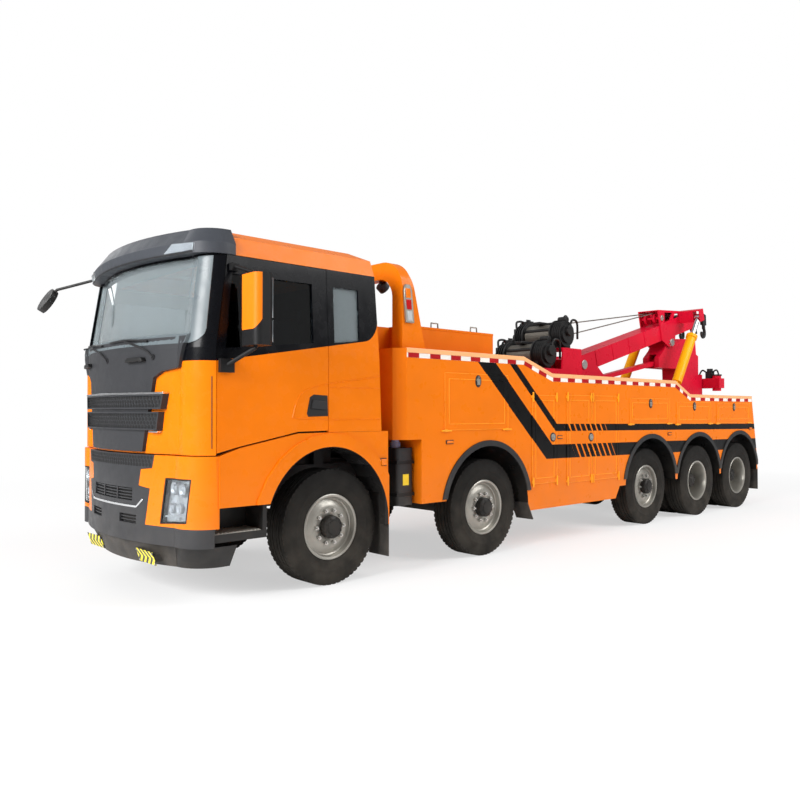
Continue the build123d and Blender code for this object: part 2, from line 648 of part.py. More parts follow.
arch = hoop(ARCH_HALF, ARCH_TOP, outer_corner, (ARCH_FOOT, ARCH_FRONT))
arch -= hoop(ARCH_HALF - 150, ARCH_TOP - 170, inner_corner, (ARCH_FOOT - 10, ARCH_FRONT + 10))
lean = [
    (ARCH_FOOT, BODY_TOP_FRONT), (ARCH_HEAD, ARCH_TOP - 145), (ARCH_HEAD, ARCH_TOP + 95),
    (ARCH_FOOT - 226, ARCH_TOP + 95), (ARCH_FOOT - 226, BODY_TOP_FRONT),
]
arch -= plate_xz(lean, (-1300, 1300))
nodes["lamp_arch"] = arch

tank = block((-1030, -800), (850, 1150), (650, 1220))
tank = fillet(tank.edges().filter_by(Axis.Z), 40) + block((-960, -880), (RAIL_OUTER_Y, 860), (800, 920))
nodes["tanks"] = pair(tank)

# Boom base: floor plate, pivot towers, winch bed and the lift cylinders' brackets.

GEAR = [
    "boom_base", "winches", "boom", "boom_tip", "lower_link", "lift_barrels", "lift_rods", "underlift_mast",
    "underlift_arm", "crossbar",
]

boom_tilt = radians(BOOM_ANGLE)


def on_boom(along, above):
    """Side-view place of a point given along and above the boom's axis, in the boom's rest pose."""
    x = BOOM_PIVOT[0] - along * cos(boom_tilt) + above * sin(boom_tilt)
    return (x, BOOM_PIVOT[1] + along * sin(boom_tilt) + above * cos(boom_tilt))


MAST_PIN = on_boom(MAST_PIN_ALONG, -MAST_PIN_BELOW)
LINK_PIVOT = (LINK_PIN[0] + BOOM_PIVOT[0] - MAST_PIN[0], LINK_PIN[1] + BOOM_PIVOT[1] - MAST_PIN[1])
BASE_TOP = DECK_Z + 40
TOWER_Y = (200, 230)
EYE_HALF = 45
FORK_GAP = 10
FORK_PLATE = 15
FORK_IN = (CYLINDER_Y - EYE_HALF - FORK_GAP - FORK_PLATE, CYLINDER_Y - EYE_HALF - FORK_GAP)
FORK_OUT = (CYLINDER_Y + EYE_HALF + FORK_GAP, CYLINDER_Y + EYE_HALF + FORK_GAP + FORK_PLATE)
tower = [(-4850, DECK_Z), (-4850, 2000), (-5250, 2420), (-5550, 2420), (-6050, 2050), (-6050, DECK_Z)]
WINCHES = [(-4300, 2380), (-4720, 2680)]
WINCH_R = 200
bed_low = WINCHES[0][1] - WINCH_R - 10
bed_high = WINCHES[1][1] - WINCH_R - 10
bed = [(-4050, DECK_Z), (-4050, bed_low), (-4505, bed_low)]
bed += [(-4525, bed_high), (-4960, bed_high), (-5000, DECK_Z)]
fork = [(-7430, DECK_Z), (-7530, 2010), (-7670, 2010), (-7790, DECK_Z)]
base = block((-7800, -3700), (-FORK_OUT[1], FORK_OUT[1]), (DECK_Z, BASE_TOP))
for side in (1, -1):
    for outline_points, y in ((tower, TOWER_Y), (bed, (455, 480)), (fork, FORK_IN), (fork, FORK_OUT)):
        base += plate_xz(outline_points, sorted((side * y[0], side * y[1])))
    pin_y = sorted((side * FORK_IN[0], side * FORK_OUT[1]))
    base += drum_y(*CYLINDER_BASE, PIN_R, pin_y)
base += block((-4505, -4050), (-480, 480), (bed_low - 20, bed_low))
base += block((-4960, -4530), (-480, 480), (bed_high - 20, bed_high))
BOOM_PIN_R = 45
base += drum_y(*BOOM_PIVOT, BOOM_PIN_R, (-TOWER_Y[1], TOWER_Y[1]))
base += drum_y(*LINK_PIVOT, PIN_R, (-TOWER_Y[1], TOWER_Y[1]))
nodes["boom_base"] = base


def winch(x, z):
    """A drum between two flanges, with a gear case at one end and a motor at the other."""
    body = drum_y(x, z, 135, (-430, 430))
    for y in (-250, 230):
        body += drum_y(x, z, WINCH_R, (y, y + 22))
    body += drum_y(x, z, 180, (252, 400)) + drum_y(x, z, 160, (-400, -250))
    for y in (-300, 270):
        body += block((x - 150, x + 150), (y - 60, y + 60), (z - WINCH_R - 10, z - 100))
    return body


nodes["winches"] = [winch(x, z) for x, z in WINCHES]

# Boom: a box beam on its pivot, with a plated head that holds the sheaves and the cylinder ears.


def boom_place(shape):
    """From the boom's own frame, pivot at the origin and beam along -X, to its rest pose."""
    return Pos(BOOM_PIVOT[0], 0, BOOM_PIVOT[1]) * Rot(0, BOOM_ANGLE, 0) * shape


half_w, half_h = BOOM_WIDTH / 2, BOOM_HEIGHT / 2
HEAD_PLATE = 20
HEAD_LENGTH = 1210
HEAD_START = HEAD_LENGTH - BOOM_LENGTH
HEAD_KNEE = 100 - BOOM_LENGTH
HEAD_HIGH = 405
HEAD_END = 180
SHEAVE_AT = HEAD_START - 80
beam = block((-BOOM_LENGTH, 160), (-half_w, half_w), (-half_h, half_h))
bore_w, bore_h = half_w - BOOM_WALL, half_h - BOOM_WALL
beam -= block((-BOOM_LENGTH - 10, -300), (-bore_w, bore_w), (-bore_h, bore_h))
in_w, in_h = bore_w - TIP_GAP, bore_h - TIP_GAP
PAD_LENGTH = 80
pad = block((-BOOM_LENGTH, PAD_LENGTH - BOOM_LENGTH), (-half_w, half_w), (-half_h, half_h))
slide_w, slide_h = in_w + SHAFT_FIT, in_h + SHAFT_FIT
pad -= block((-BOOM_LENGTH - 10, 0), (-slide_w, slide_w), (-slide_h, slide_h))
beam += pad
head = [
    (HEAD_START, -half_h), (HEAD_START, HEAD_HIGH), (HEAD_KNEE, HEAD_END), (-BOOM_LENGTH, HEAD_END),
    (-BOOM_LENGTH, -half_h), (-MAST_PIN_ALONG - 160, -half_h), (-MAST_PIN_ALONG - 75, -MAST_PIN_BELOW - 75),
    (-MAST_PIN_ALONG + 75, -MAST_PIN_BELOW - 75), (-MAST_PIN_ALONG + 300, -half_h),
]
windows = [
    [(-160, 165), (-200, 325), (-460, 275), (-340, 165)],
    [(-460, 165), (-550, 250), (-670, 228), (-670, 165)],
]
for side in (1, -1):
    y = sorted((side * half_w, side * (half_w + HEAD_PLATE)))
    cheek = plate_xz(head, y)
    for points in windows:
        cheek -= plate_xz([(HEAD_START + x, z) for x, z in points], y)
    cheek -= drum_y(-MAST_PIN_ALONG, -MAST_PIN_BELOW, PIN_R + SHAFT_FIT, y)
    beam += cheek
    ear_x = (-CYLINDER_EYE_ALONG - 75, -CYLINDER_EYE_ALONG + 75)
    ear_z = (CYLINDER_EYE_ABOVE - 75, CYLINDER_EYE_ABOVE + 130)
    for near, far in (FORK_IN, FORK_OUT):
        beam += block(ear_x, sorted((side * near, side * far)), ear_z)
    beam += block(ear_x, sorted((side * half_w, side * FORK_OUT[1])), (ear_z[1] - 20, ear_z[1]))
    beam += block(ear_x, sorted((side * half_w, side * FORK_IN[1])), ear_z)
cover = [(HEAD_START, HEAD_HIGH - 15), (HEAD_START, HEAD_HIGH), (HEAD_KNEE, HEAD_END), (-BOOM_LENGTH, HEAD_END)]
cover += [(-BOOM_LENGTH, HEAD_END - 15), (HEAD_KNEE, HEAD_END - 15)]
beam += plate_xz(cover, (-half_w, half_w))
for y in (-100, 60):
    beam += drum_y(SHEAVE_AT, 250, 90, (y, y + 40))
beam += drum_y(SHEAVE_AT, 250, 25, (-half_w, half_w))
beam -= drum_y(0, 0, BOOM_PIN_R + SHAFT_FIT, (-half_w - 30, half_w + 30))
nodes["boom"] = boom_place(beam)

# Boom tip: the inner beam that slides out, with its nose and hook.

TIP_START = -700
TIP_NOSE = -BOOM_LENGTH - 210
tip = block((TIP_NOSE, TIP_START), (-in_w, in_w), (-in_h, in_h))
tail_w, tail_h = bore_w - SHAFT_FIT, bore_h - SHAFT_FIT
tip += block((TIP_START - PAD_LENGTH, TIP_START), (-tail_w, tail_w), (-tail_h, tail_h))
tip += drum_y(TIP_NOSE + 30, 0, 120, (-60, 60))
hook_shape = [(-60, 60), (0, 60), (0, -60), (-90, -300), (-150, -300)]
hook = plate_xz([(TIP_NOSE + x, z) for x, z in hook_shape], (-45, 45))
nodes["boom_tip"] = boom_place(tip + hook)

# Lower link: with the boom it keeps the mast upright.

LINK_HALF_Y = 60
LINK_HALF_H = 35
LINK_LOOSE = 3
link_axis = atan2(LINK_PIN[1] - LINK_PIVOT[1], LINK_PIVOT[0] - LINK_PIN[0])
link_length = hypot(LINK_PIN[0] - LINK_PIVOT[0], LINK_PIN[1] - LINK_PIVOT[1])
link = block((-link_length, 0), (-LINK_HALF_Y, LINK_HALF_Y), (-LINK_HALF_H, LINK_HALF_H))
for x in (0, -link_length):
    link += drum_y(x, 0, 60, (-LINK_HALF_Y, LINK_HALF_Y))
link -= drum_y(0, 0, PIN_R + SHAFT_FIT, (-100, 100))
link -= drum_y(-link_length, 0, PIN_R + LINK_LOOSE, (-100, 100))
nodes["lower_link"] = Pos(LINK_PIVOT[0], 0, LINK_PIVOT[1]) * Rot(0, degrees(link_axis), 0) * link

# Lift cylinders: barrels on the base and rods whose eyes lie in the boom's ears.

EYE_PIN = on_boom(CYLINDER_EYE_ALONG, CYLINDER_EYE_ABOVE)
lift_length = hypot(EYE_PIN[0] - CYLINDER_BASE[0], EYE_PIN[1] - CYLINDER_BASE[1])
lift_axis = degrees(atan2(CYLINDER_BASE[0] - EYE_PIN[0], EYE_PIN[1] - CYLINDER_BASE[1]))
BARREL_END = 10 * round(0.0734 * lift_length)
ROD_START = 310
BARREL_START = 140
barrel = drum_z(0, 0, BARREL_R, (BARREL_START, BARREL_END)) + drum_y(0, 0, 62, (-EYE_HALF, EYE_HALF))
barrel += block((-50, 50), (-EYE_HALF, EYE_HALF), (0, BARREL_START + 10))
barrel += drum_z(0, 0, BARREL_R + 12, (BARREL_END - 60, BARREL_END))
barrel -= drum_z(0, 0, ROD_R + SHAFT_FIT, (BARREL_START - 20, BARREL_END + 10))
barrel -= drum_y(0, 0, PIN_R + SHAFT_FIT, (-200, 200))
ram = drum_z(0, 0, ROD_R, (ROD_START, lift_length - 20))
ram += drum_y(0, lift_length, 55, (-EYE_HALF, EYE_HALF))


def cylinder_place(shape):
    return Pos(CYLINDER_BASE[0], CYLINDER_Y, CYLINDER_BASE[1]) * Rot(0, -lift_axis, 0) * shape


nodes["lift_barrels"] = pair(cylinder_place(barrel))
nodes["lift_rods"] = pair(cylinder_place(ram))

# Underlift: a mast hung from the boom, an arm folded up behind it and a swivelling crossbar.

MAST_HALF_Y = 150
mast_shape = [
    (-7740, 2330), (-7740, 2500), (-7920, 2640), (MAST_PIN[0] + 40, MAST_PIN[1] + 65),
    (MAST_PIN[0] - 60, MAST_PIN[1] + 65), (-9040, 2900), (-9080, 2620), (-9160, 2590), (-9160, 760),
    (-8760, 760), (-8760, 1250), (-8450, 1400), (-8400, 2330),
]
mast = plate_xz(mast_shape, (-MAST_HALF_Y, MAST_HALF_Y))
slot_y = (-LINK_HALF_Y - 6, LINK_HALF_Y + 6)
mast -= block((-8080, -7600), slot_y, (2200, 2560))
mast += drum_y(*LINK_PIN, PIN_R, (-MAST_HALF_Y, MAST_HALF_Y))
mast += drum_y(*MAST_PIN, PIN_R, (-half_w - HEAD_PLATE, half_w + HEAD_PLATE))
foot_shape = [(-9140, 760), (-9380, 760), (-9380, 930), (-9140, 1060)]
for side in (1, -1):
    mast += plate_xz(foot_shape, sorted((side * 125, side * MAST_HALF_Y)))
FOLD_PIN_R = 35
mast += drum_y(*FOLD_PIN, FOLD_PIN_R, (-MAST_HALF_Y, MAST_HALF_Y))
nodes["underlift_mast"] = mast

ARM_HALF = 90
ARM_HALF_Y = 112
ARM_TOP = 2260
SWIVEL_R = 40
CROSSBAR_GAP = 10
CROSSBAR_DEPTH = 200
arm_x = (FOLD_PIN[0] - ARM_HALF, FOLD_PIN[0] + ARM_HALF)
arm = block(arm_x, (-ARM_HALF_Y, ARM_HALF_Y), (FOLD_PIN[1] - 85, ARM_TOP))
arm -= drum_y(*FOLD_PIN, FOLD_PIN_R + SHAFT_FIT, (-200, 200))
bar_x = (arm_x[0] - CROSSBAR_GAP - CROSSBAR_DEPTH, arm_x[0] - CROSSBAR_GAP)
arm += drum_x(0, CROSSBAR_Z, SWIVEL_R, (bar_x[0], arm_x[0] + 5))
nodes["underlift_arm"] = arm

CROSSBAR_HALF = 430
SOCKET_Y = 335
SOCKET_R = 38
crossbar = block(bar_x, (-CROSSBAR_HALF, CROSSBAR_HALF), (CROSSBAR_Z - 90, CROSSBAR_Z + 90))
for y in (SOCKET_Y, -SOCKET_Y):
    crossbar += drum_z(sum(bar_x) / 2, y, 75, (CROSSBAR_Z - 140, CROSSBAR_Z + 140))
    crossbar -= drum_z(sum(bar_x) / 2, y, SOCKET_R, (CROSSBAR_Z - 200, CROSSBAR_Z + 200))
crossbar -= drum_x(0, CROSSBAR_Z, SWIVEL_R + SHAFT_FIT, (bar_x[0] - 50, 0))
nodes["crossbar"] = crossbar

# The recovery gear as a whole ends at the truck's rear reach.

gear_shift = Pos(-bar_x[0] - REACH_REAR, 0, 0)
for name in GEAR:
    gear = nodes[name]
    nodes[name] = [gear_shift * solid for solid in gear] if isinstance(gear, list) else gear_shift * gear

# Lamps: headlamps in the corner panels, clusters on the arch and tail lamps on the lockers.

LAMP_FIT = 0.3
headlamp = lofted(SKIRT_SECTIONS, 8) - lofted(SKIRT_SECTIONS, 60)
headlamp &= plate_yz(lamp_outline, (1230, 1700), LAMP_FIT)
cluster = block((-985, -875), (ARCH_HALF, ARCH_HALF + 35), (2460, 2790))
tail = block((BODY_REAR - 45, BODY_REAR), (800, 1200), (640, 755))
lamps = []
for piece in (headlamp, cluster, tail):
    lamps += pair(piece)
nodes["lamps"] = lamps

os.makedirs("parts", exist_ok=True)
for name, shape in nodes.items():
    pieces = shape if isinstance(shape, list) else [shape]
    solids = [solid for piece in pieces for solid in piece.solids()]
    export_step(Compound(solids).moved(Pos(AXLE_1_X, 0, 0)), f"parts/{name}.step")
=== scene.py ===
import math

import bmesh
import bpy
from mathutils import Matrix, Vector


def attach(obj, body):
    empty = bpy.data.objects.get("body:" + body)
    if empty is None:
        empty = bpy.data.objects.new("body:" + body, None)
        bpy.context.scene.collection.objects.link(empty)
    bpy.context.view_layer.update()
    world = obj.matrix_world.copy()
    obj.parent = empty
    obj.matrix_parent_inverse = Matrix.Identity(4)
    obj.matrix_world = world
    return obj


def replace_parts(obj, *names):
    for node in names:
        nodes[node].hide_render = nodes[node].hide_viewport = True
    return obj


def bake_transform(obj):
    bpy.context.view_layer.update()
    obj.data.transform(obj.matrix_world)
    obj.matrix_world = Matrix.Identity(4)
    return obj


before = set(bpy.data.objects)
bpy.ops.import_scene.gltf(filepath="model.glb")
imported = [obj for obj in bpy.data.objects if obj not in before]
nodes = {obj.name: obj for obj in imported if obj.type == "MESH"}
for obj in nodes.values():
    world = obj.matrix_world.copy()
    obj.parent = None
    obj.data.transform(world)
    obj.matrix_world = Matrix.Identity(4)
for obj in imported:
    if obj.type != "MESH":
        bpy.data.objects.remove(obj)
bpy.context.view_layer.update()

# Ladder frame, axles and springs: folded steel channels under black chassis paint, with cast beams and
# axle housings, and leaf packs clamped under them. Everything is bolted through the rails' webs.

FRONT_AXLE = 3.925


def at(x, y, z):
    """Row place in metres of a point in millimetres, x measured from the front axle."""
    return Vector((x / 1000 + FRONT_AXLE, y / 1000, z / 1000))


def colour(red, green, blue):
    """Linear colour from screen values of 0 to 255."""
    shares = [value / 255 for value in (red, green, blue)]
    linear = [s / 12.92 if s <= 0.04045 else ((s + 0.055) / 1.055) ** 2.4 for s in shares]
    return (*linear, 1.0)


def join(socket, value):
    """Set an input to a number or a colour, or link it to a Field or another socket."""
    if isinstance(value, (int, float, tuple)):
        socket.default_value = value
    else:
        socket.id_data.links.new(value.socket if isinstance(value, Field) else value, socket)


class Field:
    """A number that varies over a surface: sums, products and comparisons of Fields become maths nodes."""

    def __init__(self, socket):
        self.socket = socket
        self.tree = socket.id_data

    def maths(self, operation, first, second=0.0):
        node = self.tree.nodes.new("ShaderNodeMath")
        node.operation = operation
        join(node.inputs[0], first)
        join(node.inputs[1], second)
        return Field(node.outputs[0])

    def of(self, operation):
        """A function of this one number."""
        return self.maths(operation, self)

    def spread(self, low, high, out_low, out_high):
        """Mapped from one range to another, and held at its ends."""
        node = self.tree.nodes.new("ShaderNodeMapRange")
        for socket, number in zip(node.inputs[1:5], (low, high, out_low, out_high)):
            socket.default_value = number
        join(node.inputs[0], self)
        return Field(node.outputs[0])

    def __add__(self, other):
        return self.maths("ADD", self, other)

    def __sub__(self, other):
        return self.maths("SUBTRACT", self, other)

    def __rsub__(self, other):
        return self.maths("SUBTRACT", other, self)

    def __mul__(self, other):
        return self.maths("MULTIPLY", self, other)

    def __truediv__(self, other):
        return self.maths("DIVIDE", self, other)

    def __lt__(self, other):
        return self.maths("LESS_THAN", self, other)

    def __gt__(self, other):
        return self.maths("GREATER_THAN", self, other)

    def __or__(self, other):
        return self.maths("MAXIMUM", self, other)

    def __abs__(self):
        return self.of("ABSOLUTE")


def mixed(share, under, over):
    """Colour that goes from under to over as share goes from 0 to 1."""
    node = share.tree.nodes.new("ShaderNodeMix")
    node.data_type = "RGBA"
    for place, value in zip((0, 6, 7), (share, under, over)):
        join(node.inputs[place], value)
    return node.outputs[2]


def object_place(tree):
    """Object coordinates: the whole, then x, y and z as Fields."""
    place = tree.nodes.new("ShaderNodeTexCoord").outputs["Object"]
    split = tree.nodes.new("ShaderNodeSeparateXYZ")
    join(split.inputs[0], place)
    return place, *[Field(socket) for socket in split.outputs]


def noise(place, scale, detail=3.0):
    node = place.id_data.nodes.new("ShaderNodeTexNoise")
    join(node.inputs["Scale"], scale)
    join(node.inputs["Detail"], detail)
    join(node.inputs["Vector"], place)
    return Field(node.outputs[0])


def new_material(name):
    """A material with its node tree and its main shader."""
    made = bpy.data.materials.new(name)
    made.use_nodes = True
    return made, made.node_tree, made.node_tree.nodes["Principled BSDF"]


def darker(tint, share):
    return (*[channel * share for channel in tint[:3]], 1.0)


def grained(shader, height, strength, depth):
    """Fine relief on a shader from a Field of heights."""
    relief = height.tree.nodes.new("ShaderNodeBump")
    join(relief.inputs["Strength"], strength)
    join(relief.inputs["Distance"], depth)
    join(relief.inputs["Height"], height)
    join(shader.inputs["Normal"], relief.outputs[0])


ROAD_DUST = colour(150, 140, 126)


def surface(name, base, rough, metal=0.0, mottle=0.1, grain=180.0, bump=0.03, clear=0.0, dust=0.1, shine=0.4,
            mark=None):
    """A worn surface: mottled colour, uneven gloss, fine grain and some road dust low down.

    mark(x, y, z) gives (share, colour) pairs that are painted over the base.
    """
    made, tree, shader = new_material(name)
    place, x, y, z = object_place(tree)
    tint = mixed(noise(place, 2.2).spread(0.35, 0.65, 0.0, 1.0), darker(base, 1 - mottle), base)
    for share, over in mark(x, y, z) if mark else ():
        tint = mixed(share, tint, over)
    dusty = z.spread(0.25, 1.1, dust, 0.0) * noise(place, 6.0).spread(0.3, 0.7, 0.3, 1.0)
    join(shader.inputs["Base Color"], mixed(dusty, tint, ROAD_DUST))
    uneven = noise(place, 9.0).spread(0.3, 0.7, max(rough - 0.07, 0.02), min(rough + 0.07, 1.0))
    join(shader.inputs["Roughness"], uneven + dusty * 0.4)
    join(shader.inputs["Metallic"], metal)
    join(shader.inputs["Coat Weight"], clear)
    join(shader.inputs["Specular IOR Level"], shine)
    join(shader.inputs["Coat Roughness"], 0.06)
    grained(shader, noise(place, grain, 2.0), bump, 0.004)
    return made


def dress(material, *names):
    """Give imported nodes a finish, with their meshes left as they are."""
    for name in names:
        for slot in nodes[name].material_slots:
            slot.material = material


def finished(name, body, material, mesh):
    """A mesh as a piece that rides on a body, or on none if no body is given."""
    mesh.materials.clear()
    mesh.materials.append(material)
    made = bpy.data.objects.new(name, mesh)
    bpy.context.scene.collection.objects.link(made)
    if body:
        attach(made, body)
    return made


def repeat_tree(name, sides):
    """Nodes that set one block, or one drum with that many sides, on every point."""
    tree = bpy.data.node_groups.new(name, "GeometryNodeTree")
    face = tree.interface

    def socket(label, kind, way="INPUT"):
        return face.new_socket(name=label, in_out=way, socket_type="NodeSocket" + kind).identifier

    socket("Geometry", "Geometry")
    sockets = {label: socket(label, "Float") for label in ("Length", "Width", "Height")}
    sockets["Finish"] = socket("Finish", "Material")
    socket("Geometry", "Geometry", "OUTPUT")
    make = tree.nodes.new
    given, result = make("NodeGroupInput"), make("NodeGroupOutput")
    turn = make("GeometryNodeInputNamedAttribute")
    turn.data_type = "FLOAT_VECTOR"
    turn.inputs["Name"].default_value = "turn"
    aim = make("FunctionNodeEulerToRotation")
    place, real = make("GeometryNodeInstanceOnPoints"), make("GeometryNodeRealizeInstances")
    paint = make("GeometryNodeSetMaterial")
    link = tree.links.new
    if sides:
        unit = make("GeometryNodeMeshCylinder")
        unit.inputs["Vertices"].default_value = sides
        link(given.outputs["Length"], unit.inputs["Radius"])
        link(given.outputs["Height"], unit.inputs["Depth"])
    else:
        unit = make("GeometryNodeMeshCube")
        size = make("ShaderNodeCombineXYZ")
        for socket, label in zip(size.inputs, ("Length", "Width", "Height")):
            link(given.outputs[label], socket)
        link(size.outputs[0], unit.inputs["Size"])
    link(turn.outputs["Attribute"], aim.inputs[0])
    link(given.outputs["Geometry"], place.inputs["Points"])
    link(unit.outputs["Mesh"], place.inputs["Instance"])
    link(aim.outputs[0], place.inputs["Rotation"])
    link(place.outputs[0], real.inputs[0])
    link(real.outputs[0], paint.inputs["Geometry"])
    link(given.outputs["Finish"], paint.inputs["Material"])
    link(paint.outputs[0], result.inputs[0])
    return tree, sockets


repeat_trees = {}


def repeated(name, body, material, spots, size, sides=0):
    """Like pieces on (place, turn) spots: blocks of that size, or drums whose radius is its first number."""
    if sides not in repeat_trees:
        repeat_trees[sides] = repeat_tree(f"repeat_{sides}", sides)
    tree, sockets = repeat_trees[sides]
    mesh = bpy.data.meshes.new(name)
    mesh.from_pydata([spot for spot, turn in spots], [], [])
    turns = mesh.attributes.new("turn", "FLOAT_VECTOR", "POINT")
    turns.data.foreach_set("vector", [angle for spot, turn in spots for angle in turn])
    holder = bpy.data.objects.new(name + "_points", mesh)
    bpy.context.scene.collection.objects.link(holder)
    modifier = holder.modifiers.new("repeat", "NODES")
    modifier.node_group = tree
    for label, value in zip(("Length", "Width", "Height"), size):
        modifier[sockets[label]] = value / 1000
    modifier[sockets["Finish"]] = material
    graph = bpy.context.evaluated_depsgraph_get()
    baked = bpy.data.meshes.new_from_object(holder.evaluated_get(graph))
    holder.modifiers.remove(modifier)
    bpy.data.objects.remove(holder)
    return finished(name, body, material, baked)


chassis_paint = surface("chassis_paint", colour(30, 30, 32), 0.5, dust=0.35)
cast_iron = surface("cast_iron", colour(44, 43, 43), 0.68, bump=0.25, grain=120, dust=0.4)
dress(chassis_paint, "chassis_frame", "leaf_springs")
dress(cast_iron, "axles", "engine_gearbox")
for n in "12":
    dress(cast_iron, f"knuckle_{n}_left", f"knuckle_{n}_right")
ALONG_Y = (math.pi / 2, 0.0, 0.0)
rail_bolts = [
    (at(x, side * 428, z), ALONG_Y) for x in range(-8700, 1100, 350) for z in (800, 1000) for side in (1, -1)
]
repeated("rail_bolts", "truck", chassis_paint, rail_bolts, (16, 0, 12), 6)

# Tyres: radial truck tyres with four round grooves and short cross lugs on the shoulders. Black rubber,
# moulded in one piece and seated on the rim's beads.

AXLE_PLACES = {"1": 0, "2": -2114, "3": -5564, "4": -6978, "5": -8376}
WHEEL_Z = 530
SINGLE_Y = 1005
TWIN_Y = (1060, 720)
HANDS = (("left", 1), ("right", -1))
LUGS, LUG_RADIUS, LUG_Y = 60, 522, 108


def piece(name, body, material, shapes, bevel=0.0, crease=35.0):
    """One object from several closed shapes, with softened edges."""
    build = bmesh.new()
    for corners, faces in shapes:
        spots = [build.verts.new(corner) for corner in corners]
        for face in faces:
            build.faces.new([spots[i] for i in face])
    bmesh.ops.recalc_face_normals(build, faces=build.faces)
    mesh = bpy.data.meshes.new(name)
    build.to_mesh(mesh)
    build.free()
    mesh.polygons.foreach_set("use_smooth", [True] * len(mesh.polygons))
    mesh.set_sharp_from_angle(angle=math.radians(crease))
    made = finished(name, body, material, mesh)
    if bevel:
        edge = made.modifiers.new("softened_edges", "BEVEL")
        edge.width = bevel / 1000
        edge.segments = 2
        edge.limit_method = "ANGLE"
        edge.angle_limit = math.radians(40)
    return made


def round_axle(x, y, radius, angle):
    """Place on a circle about a wheel's axis."""
    return at(x + radius * math.cos(angle), y, WHEEL_Z + radius * math.sin(angle))


def ring_faces(steps, count):
    """Faces of a ring with that many steps, each a closed loop of count points."""
    faces = []
    for step in range(steps):
        here, ahead = step * count, (step + 1) % steps * count
        for i in range(count):
            j = (i + 1) % count
            faces.append((here + i, here + j, ahead + j, ahead + i))
    return faces


def turned(profile, x, y, steps=80):
    """A ring about a wheel's axis from a closed loop of (radius, width) points; y is the ring's middle."""
    corners = []
    for step in range(steps):
        for radius, width in profile:
            corners.append(round_axle(x, y + width, radius, 2 * math.pi * step / steps))
    return corners, ring_faces(steps, len(profile))


def mirrored(shape):
    """The same shape on the truck's right."""
    corners, faces = shape
    return [Vector((c.x, -c.y, c.z)) for c in corners], [tuple(reversed(face)) for face in faces]


rubber = surface("tyre_rubber", colour(24, 23, 22), 0.85, mottle=0.25, bump=0.3, grain=260, dust=0.12, shine=0.2)
side_wall = [
    (287, 105), (302, 124), (335, 139), (372, 147), (392, 149), (396, 151), (404, 151), (408, 149), (446, 147),
    (478, 141), (500, 134), (518, 127), (527, 119), (529, 112),
]
tread = [(529, 78), (515, 76), (515, 66), (530, 64), (530, 36), (515, 34), (515, 24), (530, 22)]
half_tyre = side_wall + tread
tyre_loop = half_tyre + [(radius, -width) for radius, width in reversed(half_tyre)]
for n, x in AXLE_PLACES.items():
    middles = TWIN_Y if n in "45" else (SINGLE_Y,)
    for side, sign in HANDS:
        rings = [turned(tyre_loop, x, y) for y in middles]
        if sign < 0:
            rings = [mirrored(ring) for ring in rings]
        made = piece(f"tyre_tread_{n}_{side}", f"wheel_{n}_{side}", rubber, rings)
        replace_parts(made, f"tyre_{n}_{side}")
        cuts = []
        for y in middles:
            for edge in (-1, 1):
                for step in range(LUGS):
                    angle = 2 * math.pi * (step + 0.25 * edge) / LUGS
                    spot = round_axle(x, sign * (y + edge * LUG_Y), LUG_RADIUS, angle)
                    cuts.append((spot, (0.0, -angle, 0.0)))
        repeated(f"tyre_lugs_{n}_{side}", f"wheel_{n}_{side}", rubber, cuts, (15, 38, 34))

# Wheel discs: pressed steel rims in silver paint, each held by ten nuts round a black hub with its cap.
# The two drive axles carry twin wheels, so their discs lie deep inside the outer rim.

rim_silver = surface("rim_silver", colour(168, 165, 157), 0.34, metal=0.6, mottle=0.3, dust=0.15)
hub_black = surface("hub_black", colour(17, 17, 18), 0.5, bump=0.08, dust=0.12, shine=0.25)
nut_steel = surface("nut_steel", colour(206, 204, 200), 0.3, metal=0.9, mottle=0.2)
single_loop = [
    (104, 78), (104, 94), (128, 102), (176, 102), (206, 94), (228, 82), (252, 76), (262, 84), (268, 112), (276, 128),
    (292, 133), (300, 128), (299, 118), (286, 108), (286, -108), (299, -118), (300, -125), (290, -130), (266, -125),
    (262, 58), (228, 66), (200, 78), (128, 84),
]
single_hub = [
    (0, 192), (34, 191), (66, 186), (70, 176), (90, 172), (102, 160), (104, 120), (104, -70), (41, -70), (41, 150),
    (0, 150),
]
twin_loop = [
    (122, -170), (122, -156), (150, -150), (196, -150), (224, -160), (250, -160), (258, -140), (264, -60), (268, 60),
    (270, 112), (278, 128), (292, 133), (300, 128), (299, 118), (286, 108), (286, -448), (299, -458), (300, -465),
    (290, -470), (266, -465), (262, -186), (224, -182), (196, -176),
]
twin_hub = [
    (0, 58), (40, 58), (52, 48), (88, 46), (98, 40), (104, -40), (120, -150), (121, -372), (56, -372), (56, 2), (0, 2),
]
# Kinds of wheel: disc, hub, the nuts' face, and the circle and face of the cap's bolts.
SINGLE_WHEEL = (single_loop, single_hub, 112, 86, 172)
TWIN_WHEEL = (twin_loop, twin_hub, -143, 74, 49)
NUT_CIRCLE, NUTS, CAP_BOLTS = 152, 10, 8


def bolt_circle(x, y, radius, count, start=0.0):
    """Spots for bolts in a circle about a wheel's axis."""
    return [(round_axle(x, y, radius, 2 * math.pi * (step + start) / count), ALONG_Y) for step in range(count)]


